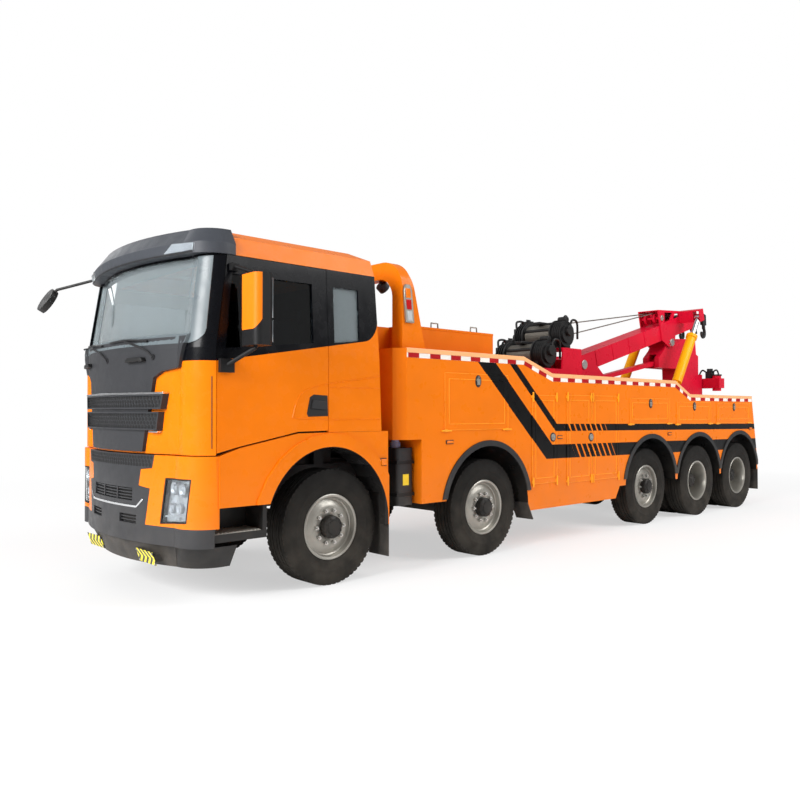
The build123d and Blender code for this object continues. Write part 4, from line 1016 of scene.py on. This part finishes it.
# The top flange is painted a pale orange, much lighter than the body: a painted highlight along the lit top edge.
flange_highlight_paint = surface("flange_highlight_paint", colour(250, 178, 120), 0.34, mottle=0.05, clear=0.3)
tape_white = surface("tape_white", colour(236, 232, 224), 0.42, mottle=0.08, grain=900, bump=0.1)
tape_red = surface("tape_red", colour(172, 8, 20), 0.45, mottle=0.12, grain=900, bump=0.1, shine=0.15)


def run_along(edge, low, high):
    """Side-view outline of a band that follows the body's top edge between two depths below it."""
    return [(x, z - high) for x, z in edge] + [(x, z - low) for x, z in reversed(edge)]


flanges, tapes = [], []
for sign in (1, -1):
    flanges.append(prism(run_along(TOP_EDGE, 44, -3), wide(sign, 1220, BODY_Y + 7)))
    tapes.append(prism(run_along(TOP_EDGE, 92, 44), wide(sign, 1240, BODY_Y + 1.5)))
piece("top_flanges", "truck", flange_highlight_paint, flanges, bevel=4)
piece("tape_strips", "truck", tape_white, tapes)
squares = []
for sign in (1, -1):
    for (x0, z0), (x1, z1) in zip(TOP_EDGE, TOP_EDGE[1:]):
        length = math.hypot(x1 - x0, z1 - z0)
        count = max(1, round(length / 300))
        for i in range(count):
            share = (i + 0.3) / count
            spot = at(x0 + (x1 - x0) * share, sign * (BODY_Y + 1.8), z0 + (z1 - z0) * share - 68)
            squares.append((spot, (0.0, math.atan2(z1 - z0, x0 - x1), 0.0)))
repeated("tape_squares", "truck", tape_red, squares, (150, 1.4, 47))

# Locker furniture: pressed beads on the steel doors, welded hinges at their edges, and paddle latches with
# key locks on black plates.

LOCKERS = [
    (-2391, -1378, 1392, 1986), (-3307, -2830, 743, 1775), (-4040, -3510, 718, 1784), (-4670, -4056, 718, 1784),
    (-6031, -4951, 1416, 1764), (-7314, -6240, 1400, 1720), (-8740, -7523, 1400, 1714),
]
DOOR_FACE = 1250
BEAD_INSET, HINGE_Y = 62, 1258
LATCHES = [(-1890, 1910), (-5491, 1695), (-6777, 1660), (-8130, 1654)]
ROUND_LOCKS = [(-3224, 1279), (-4022, 1261)]
beads, hinges, plates, paddles, keys = [], [], [], [], []


def rib(y, radius, start, end, sides=6):
    """A straight round rib on the body's side between two (x, z) points."""
    return tube([(start[0], y, start[1]), (end[0], y, end[1])], radius, sides)


for sign in (1, -1):
    for rear, front, low, high in LOCKERS:
        x0, x1, z0, z1 = rear + BEAD_INSET, front - BEAD_INSET, low + BEAD_INSET, high - BEAD_INSET
        loop = [(x0, z0), (x1, z0), (x1, z1), (x0, z1)]
        beads += [rib(sign * DOOR_FACE, 5, start, end) for start, end in zip(loop, loop[1:] + loop[:1])]
        beads += [rib(sign * (DOOR_FACE - 1), 4, (x, low), (x, high)) for x in (rear, front)]
        beads += [rib(sign * (DOOR_FACE - 1), 4, (rear, z), (front, z)) for z in (low, high)]
        tall = high - low > 700
        dx, dz = (0, 55) if tall else (70, 0)
        for share in (0.02, 0.98):
            x = rear + (front - rear) * share
            for z in (low + 20, high - 20) if tall else (low - 6,):
                hinges.append(rib(sign * HINGE_Y, 10, (x - dx, z - dz), (x + dx, z + dz), 8))
                hinges.append(block((x - 22, x + 22), wide(sign, BODY_Y, 1256), (z - 15, z + 15)))
    for x, z in LATCHES:
        oval = [(x + 46 * math.cos(t), z + 66 * math.sin(t)) for t in (i * math.pi / 10 for i in range(20))]
        paddle = [(x - 22, z - 40), (x + 22, z - 40), (x + 26, z + 26), (x - 26, z + 26)]
        plates.append(prism(oval, wide(sign, 1248, 1257)))
        paddles.append(prism(paddle, wide(sign, 1256, 1264)))
        keys.append((at(x, sign * 1259, z + 44), ALONG_Y))
    for x, z in ROUND_LOCKS:
        plates.append(tube([(x, sign * 1248, z), (x, sign * 1257, z)], 54, 24))
        paddles.append(tube([(x, sign * 1256, z), (x, sign * 1262, z)], 40, 24))
        keys.append((at(x, sign * 1264, z), ALONG_Y))
# The beads are painted a paler, yellower orange than the doors: a painted highlight for the light they catch. The
# black stripes still run over them.
bead_highlight_paint = surface("bead_highlight_paint", colour(250, 150, 38), 0.3, mottle=0.05, bump=0.02, shine=0.12, mark=body_marks)
piece("door_beads", "truck", bead_highlight_paint, beads)
# The hinges are painted a paler, yellower orange than the doors: a painted highlight for the light they catch.
hinge_highlight_paint = surface("hinge_highlight_paint", colour(252, 164, 34), 0.3, mottle=0.05, bump=0.02, shine=0.12)
piece("locker_hinges", "truck", hinge_highlight_paint, hinges, bevel=2)
piece("latch_plates", "truck", black_plastic, plates, bevel=3)
piece("latch_paddles", "truck", rim_silver, paddles, bevel=3)
repeated("latch_keys", "truck", nut_steel, keys, (10, 0, 8), 12)

# Deck and front box: orange sheet with folded edges. The box has lifting handles of round bar on its top,
# and the deck is raised-pattern plate.


def plate_and_highlight_marks(x, y, z):
    """Bare grey plate on the deck below the box, with lighter lozenges that are a painted highlight on its raised
    pattern.
    """
    waves = [(x * 60.0 + y * slope).of("SINE") for slope in (60.0, -60.0)]
    flat = z < 1.33
    # The lighter lozenges are a painted highlight where the plate's raised pattern would catch the light.
    return [(flat, colour(96, 92, 88)), (flat * (waves[0] * waves[1] > 0.7), colour(150, 146, 140))]


deck_paint_and_highlights = surface("deck_paint_and_highlights", ORANGE, 0.34, mottle=0.07, clear=0.05, shine=0.12, mark=plate_and_highlight_marks)
dress(deck_paint_and_highlights, "body_deck")
handles = []
for sign in (1, -1):
    for x in (-1616, -2250):
        loop = [(x - 55, 2480), (x - 50, 2545), (x + 50, 2545), (x + 55, 2480)]
        handles.append(tube([(a, sign * 860, b) for a, b in loop], 9, 8))
piece("box_handles", "truck", rim_silver, handles)
rims = [block((-2548, -1176), wide(sign, 880, 904), (2462, 2490)) for sign in (1, -1)]
rims += [block((-2548, -2524), (-900, 900), (2462, 2490)), block((-1200, -1176), (-900, 900), (2462, 2490))]
piece("box_rims", "truck", orange_paint, rims, bevel=5)

# Lamp clusters and work lamps: on each leg of the hoop a silver bezel with red, amber and clear lenses,
# tail lamps on the body's rear face, and round work lamps on stalks under the hoop.

red_lens = glassy("red_lens", colour(190, 6, 14), 0.12, 0.08)
clear_lens = glassy("clear_lens", colour(232, 236, 238), 0.08, 0.5)
bezels, reds, ambers, clears, work_lamps = [], [], [], [], []
for sign in (1, -1):
    shell = [(-1000, 2470), (-890, 2470), (-862, 2790), (-878, 2850), (-940, 2850), (-968, 2790)]
    bezels.append(prism(shell, wide(sign, 1165, 1196)))
    for lenses, low, high in ((ambers, 2715, 2810), (reds, 2600, 2700), (clears, 2490, 2585)):
        x = -920 - 0.1 * (2640 - low)
        lens = [(x - 34, low), (x + 30, low), (x + 40, high), (x - 24, high)]
        lenses.append(prism(lens, wide(sign, 1190, 1204)))
    tail = (-9092, -9045)
    bezels.append(block((-9082, -9045), wide(sign, 792, 1208), (632, 763)))
    for lenses, near, far in ((reds, 805, 955), (ambers, 965, 1075), (clears, 1085, 1195)):
        lenses.append(block(tail, wide(sign, near, far), (645, 750)))
    work_lamps.append(tube([(-930, sign * 760, 2900), (-985, sign * 760, 2860)], 62, 20))
    work_lamps.append(tube([(-925, sign * 760, 2945), (-925, sign * 760, 2890)], 14, 8))
piece("lamp_bezels", "truck", rim_silver, bezels, bevel=7)
piece("red_lenses", "truck", red_lens, reds, bevel=5)
piece("amber_lenses", "truck", amber, ambers, bevel=5)
piece("clear_lenses", "truck", clear_lens, clears, bevel=5)
piece("work_lamps", "truck", black_plastic, work_lamps)
plate = block((-9058, -9045), (660, 790), (940, 1060))
piece("blank_plate", "truck", tape_white, [plate], bevel=3)

# Side tanks: black moulded tanks behind the cab, strapped to a bracket, with a blue filler cap and a blank
# yellow label.

dress(black_plastic, "tanks")
straps, caps, labels = [], [], []
for sign in (1, -1):
    for z in (760, 1080):
        straps.append(block((-1034, -796), wide(sign, 846, 1154), (z - 18, z + 18)))
    caps.append(tube([(-915, sign * 1000, 1218), (-915, sign * 1000, 1275)], 52, 20))
    caps.append(tube([(-915, sign * 1000, 1270), (-915, sign * 1000, 1300)], 40, 20))
    labels.append(block((-960, -880), wide(sign, 1148, 1152), (850, 960)))
piece("tank_straps", "truck", hub_black, straps, bevel=4)
cap_blue = surface("cap_blue", colour(150, 170, 214), 0.4, dust=0)
piece("filler_caps", "truck", cap_blue, caps, bevel=6)
piece("blank_labels", "truck", surface("label_yellow", colour(244, 208, 40), 0.5), labels)

# Boom, base and link: welded crimson box beams on pins, with stiffeners and pin plates. The head's cheeks
# carry the sheaves, and the beam rises on two yellow cylinders with chromed rods.

PIVOT, BARREL_PIN = (-5400, 2280), (-7600, 1950)
BOOM_TILT = math.radians(15)
GEAR_GLOSS = dict(clear=0.05, shine=0.125)
CRIMSON = colour(210, 18, 50)
crimson = surface("crimson_paint", CRIMSON, 0.32, mottle=0.12, grain=60, **GEAR_GLOSS)
yellow = surface("yellow_paint", colour(238, 166, 10), 0.32, grain=60, **GEAR_GLOSS)
rod_chrome = surface("rod_chrome", colour(222, 224, 228), 0.1, metal=1.0, mottle=0.05, dust=0)
dress(crimson, "boom_base", "boom", "lower_link", "underlift_mast", "underlift_arm", "crossbar")
dress(yellow, "lift_barrels")
dress(rod_chrome, "lift_rods")


def hook_marks(x, y, z):
    """The hook and its shank are black."""
    return [(x - z * 0.27 < FRONT_AXLE - 9.12 - 0.27 * 3.2, colour(24, 24, 25))]


dress(surface("tip_paint", CRIMSON, 0.32, mottle=0.12, **GEAR_GLOSS, mark=hook_marks), "boom_tip")


def boom_at(along, y, above):
    """Place of a point along and above the boom's axis."""
    x = PIVOT[0] - along * math.cos(BOOM_TILT) + above * math.sin(BOOM_TILT)
    return (x, y, PIVOT[1] + along * math.sin(BOOM_TILT) + above * math.cos(BOOM_TILT))


def boom_plate(outline, y):
    """A plate on the boom from (along, above) points."""
    flat = [boom_at(a, 0, b) for a, b in outline]
    return prism([(p[0], p[2]) for p in flat], y)


MAST_PIN, SHEAVE_PIN = (2750, -220), (2520, 250)
HEAD_BOLTS = 8
stiffeners, pins, bolts = [], [], []
for sign in (1, -1):
    skin = wide(sign, 169, 178)
    for a in (420, 900, 1400, 1900):
        stiffeners.append(boom_plate([(a, -128), (a + 60, -128), (a + 60, 128), (a, 128)], skin))
    stiffeners.append(boom_plate([(-120, -110), (140, -110), (140, 110), (-120, 110)], skin))
    for (a, b), r in ((MAST_PIN, 62), (SHEAVE_PIN, 48)):
        pins.append(tube([boom_at(a, y, b) for y in wide(sign, 188, 206)], r, 20))
    for step in range(HEAD_BOLTS):
        angle = 2 * math.pi * step / HEAD_BOLTS
        along, above = MAST_PIN[0] + 95 * math.cos(angle), MAST_PIN[1] + 60 * math.sin(angle)
        bolts.append((at(*boom_at(along, sign * 192, above)), ALONG_Y))
piece("boom_stiffeners", "boom", crimson, stiffeners, bevel=3)
piece("boom_pins", "boom", nut_steel, pins, bevel=4)
repeated("head_bolts", "boom", nut_steel, bolts, (11, 0, 12), 6)
base_pins = []
for sign in (1, -1):
    for (x, z), y, r in ((PIVOT, 229, 70), (BARREL_PIN, 569, 52)):
        base_pins.append(tube([(x, sign * y, z), (x, sign * (y + 16), z)], r, 20))
piece("base_pins", "truck", nut_steel, base_pins, bevel=4)

# Hooks: two forged steel hooks in black, each with its shackle and swivel.
# They hang from a bar through the boom's nose.

nose = boom_at(3790, 0, 20)
hang = [tube([(nose[0], -235, nose[2]), (nose[0], 235, nose[2])], 24, 14)]
x, z = nose[0] - 200, nose[2]
arm = [(x, z - 30), (nose[0] + 22, z - 26), (nose[0] + 22, z + 26), (x, z + 30)]
shackle = [(x - 62, z - 120), (x + 66, z - 115), (x + 92, z + 40), (x + 44, z + 92), (x - 46, z + 70)]
CLAW = [(-8, -170), (-38, -230), (-34, -312), (26, -340), (70, -296), (66, -242)]
for y in (205, -205):
    hang.append(prism(arm, (y - 16, y + 16)))
    hang.append(prism(shackle, (y - 30, y + 30)))
    hang.append(tube([(x, y, z - 110), (x - 8, y, z - 185)], 30, 12))
    hang.append(tube(bent([(x + dx, y, z + dz) for dx, dz in CLAW]), 26, 10))
forged_black = surface("forged_black", colour(26, 26, 27), 0.5, bump=0.15, dust=0)
piece("winch_hooks", "boom_tip", forged_black, hang, bevel=6)

# Winches: two black drums wound with steel rope on the stepped bed, each with a ribbed gear case, a motor
# and its hoses.

winch_black = surface("winch_black", colour(20, 20, 21), 0.42, bump=0.12, grain=140, dust=0, shine=0.35)
rope_steel = surface("rope_steel", colour(120, 116, 108), 0.45, metal=0.6, mottle=0.35, bump=0.5, grain=600, dust=0)
dress(winch_black, "winches")
WINCH_PLACES = [(-4300, 2380), (-4720, 2680)]
# Round parts of one winch, their ends measured from the drum's axis: start, end, radius and sides.
WINCH_BARS = [
    ((0, 398, 40), (0, 470, 40), 74, 18), ((0, -398, 0), (0, -520, 0), 66, 18),
    ((-90, -240, 172), (-90, 240, 172), 22, 12), ((128, -240, 60), (128, 240, 60), 26, 12),
    ((-30, 250, 205), (-30, 390, 205), 44, 14), ((-75, -305, 225), (-75, -305, 262), 12, 8),
    ((-40, -305, 225), (-40, -305, 262), 12, 8), ((-5, -305, 225), (-5, -305, 262), 12, 8),
]
WINCH_HOSES = [
    [(-40, -460, 110), (-90, -480, 215), (-200, -470, 180), (-260, -420, -60)],
    [(40, -460, 110), (20, -470, 235), (-160, -450, 215), (-270, -390, -60)],
    [(-20, 440, 100), (-60, 450, 190), (-190, 440, 165), (-260, 400, -60)],
]
WINCH_CHEEK = [(-150, -190), (150, -190), (120, 120), (40, 196), (-60, 196), (-130, 100)]
turns, ribs, motors, bed_bolts = [], [], [], []
for x, z in WINCH_PLACES:
    turns += [(at(x, -214 + i * 20, z), ALONG_Y) for i in range(22)]
    ribs += [(at(x, y, z), ALONG_Y) for y in (262, 292, 322, 352, 382, -262, -300, -338, -376)]
    for start, end, radius, sides in WINCH_BARS:
        motors.append(tube([(x + dx, y, z + dz) for dx, y, dz in (start, end)], radius, sides))
    for run in WINCH_HOSES:
        motors.append(tube(bent([(x + dx, y, z + dz) for dx, y, dz in run]), 17, 8))
    motors.append(block((x - 60, x + 60), (-500, -420), (z + 50, z + 130)))
    motors.append(block((x - 170, x + 170), (-60, 60), (z + 150, z + 185)))
    motors.append(block((x - 95, x + 5), (-360, -250), (z + 165, z + 235)))
    for y in (-236, 238):
        motors.append(prism([(x + dx, z + dz) for dx, dz in WINCH_CHEEK], (y - 9, y + 9)))
    for y in (-345, -255, 225, 315):
        for dx in (-120, 120):
            bed_bolts.append((at(x + dx, y, z - 196), ALONG_Z))
repeated("rope_turns", "truck", rope_steel, turns, (150, 0, 17), 28)
repeated("gear_ribs", "truck", winch_black, ribs, (188, 0, 10), 28)
piece("winch_motors", "truck", winch_black, motors, bevel=6)
repeated("bed_bolts", "truck", nut_steel, bed_bolts, (16, 0, 26), 6)
rig = []
for x, z, y in ((-4300, 2520, 70), (-4720, 2815, -70)):
    head = boom_at(2520, y, 345)
    rig.append(tube([(x + (head[0] - x) * k / 24, y, z + (head[2] - z) * k / 24) for k in range(25)], 9, 8))
ropes = piece("hoist_ropes", None, rope_steel, rig)
at(-4800, 0, 2700)
at(-7700, 0, 3200)
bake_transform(ropes)
SUPPLY_RUN = [(-4930, 2840), (-5010, 2800), (-5060, 2600), (-5090, 2440), (-5160, 2340)]
hoses = [tube(bent([(x, y, z) for x, z in SUPPLY_RUN]), 16, 8) for y in (120, 175)]
loop = [(-4860, 250, 2700), (-4870, 250, 2930), (-4960, 240, 2935), (-5010, 230, 2700), (-5030, 230, 2440)]
hoses.append(tube(bent(loop), 15, 8))
piece("supply_hoses", "truck", black_plastic, hoses)

# Underlift rear: hydraulic hoses of black rubber in a carrier bolted to the arm. Black steel stops, with
# hoses of their own, stand on the crossbar.

carrier = [block((-9412, -9388), (-70, 70), (1300, 1900))]
for y in (-45, 0, 45):
    carrier.append(tube([(-9400, y, 1250), (-9410, y, 1500), (-9410, y, 1900), (-9390, y, 2010)], 13, 8))
piece("hose_carrier", "underlift_arm", black_plastic, carrier, bevel=3)
STOP_HOSES = [
    [(-9500, 250, 2300), (-9490, 330, 2345), (-9480, 372, 2290), (-9480, 380, 2200)],
    [(-9470, 160, 2300), (-9450, 90, 2345), (-9440, 40, 2270), (-9440, 20, 2190)],
]
stops = []
for sign in (1, -1):
    stops.append(tube([(-9500, sign * 335, 2238), (-9500, sign * 335, 2262)], 88, 20))
    stops.append(block((-9565, -9435), wide(sign, 150, 262), (2186, 2320)))
    stops.append(tube([(-9500, sign * 206, 2316), (-9500, sign * 206, 2372)], 52, 16))
    for run in STOP_HOSES:
        stops.append(tube(bent([(x, sign * y, z) for x, y, z in run]), 15, 8))
piece("crossbar_stops", "crossbar", winch_black, stops, bevel=5)

# Floor, light and camera: a plain pale studio with three area lamps and a soft white world.
# The camera stands at the photograph's place.

floor_mesh = bpy.data.meshes.new("floor")
floor_mesh.from_pydata([(-60, -60, 0), (60, -60, 0), (60, 60, 0), (-60, 60, 0)], [], [(0, 1, 2, 3)])
floor = bpy.data.objects.new("floor", floor_mesh)
bpy.context.scene.collection.objects.link(floor)


def shaders_mixed(tree, share, first, second, end):
    """Lead one shader or another to the tree's end, by share."""
    blended = tree.nodes.new("ShaderNodeMixShader")
    for socket, value in zip(blended.inputs, (share, first.outputs[0], second.outputs[0])):
        join(socket, value)
    join(tree.nodes[end].inputs["Surface"], blended.outputs[0])


paper, tree, lit = new_material("studio_floor")
join(lit.inputs["Base Color"], (0.9, 0.9, 0.9, 1.0))
join(lit.inputs["Roughness"], 0.9)
bright = tree.nodes.new("ShaderNodeEmission")
join(bright.inputs["Strength"], 1.0)
away = tree.nodes.new("ShaderNodeVectorMath")
away.operation = "LENGTH"
join(away.inputs[0], object_place(tree)[0])
far = Field(away.outputs["Value"]).spread(5.0, 13.0, 0.55, 1.0)
seen = tree.nodes.new("ShaderNodeLightPath").outputs
shaders_mixed(tree, far * seen["Is Camera Ray"], lit, bright, "Material Output")
floor_mesh.materials.append(paper)

world = bpy.data.worlds.new("studio")
bpy.context.scene.world = world
world.use_nodes = True
tree = world.node_tree
soft, white = tree.nodes["Background"], tree.nodes.new("ShaderNodeBackground")
for shader, strength in ((soft, 0.36), (white, 1.0)):
    join(shader.inputs["Color"], (1.0, 1.0, 1.0, 1.0))
    join(shader.inputs["Strength"], strength)
seen = tree.nodes.new("ShaderNodeLightPath").outputs
shaders_mixed(tree, Field(seen["Is Camera Ray"]) | seen["Is Transmission Ray"], soft, white, "World Output")

for name, place, aim, size, power in (
    ("key_light", (19, 2.5, 8), (4, 0, 1.4), 7, 3700), ("side_light", (-6.5, 12, 11.5), (-3, 0, 1.4), 10, 2080),
    ("far_light", (2, -14, 10), (0, 0, 1.2), 10, 600),
):
    lamp = bpy.data.lights.new(name, "AREA")
    lamp.size = size
    lamp.energy = power
    holder = bpy.data.objects.new(name, lamp)
    holder.location = place
    holder.rotation_euler = (Vector(aim) - Vector(place)).to_track_quat("-Z", "Y").to_euler()
    bpy.context.scene.collection.objects.link(holder)

cam_data = bpy.data.cameras.new("camera")
cam_data.sensor_width = 36.0
cam_data.lens = 34.2
cam = bpy.data.objects.new("camera", cam_data)
cam.location = (8.173, 6.701, 1.590)
yaw, pitch = math.radians(47.48), math.radians(0.83)
look = Vector((-math.cos(yaw) * math.cos(pitch), -math.sin(yaw) * math.cos(pitch), math.sin(pitch)))
cam.rotation_euler = look.to_track_quat("-Z", "Y").to_euler()
bpy.context.scene.collection.objects.link(cam)
bpy.context.scene.camera = cam
bpy.context.scene.view_settings.view_transform = "Standard"
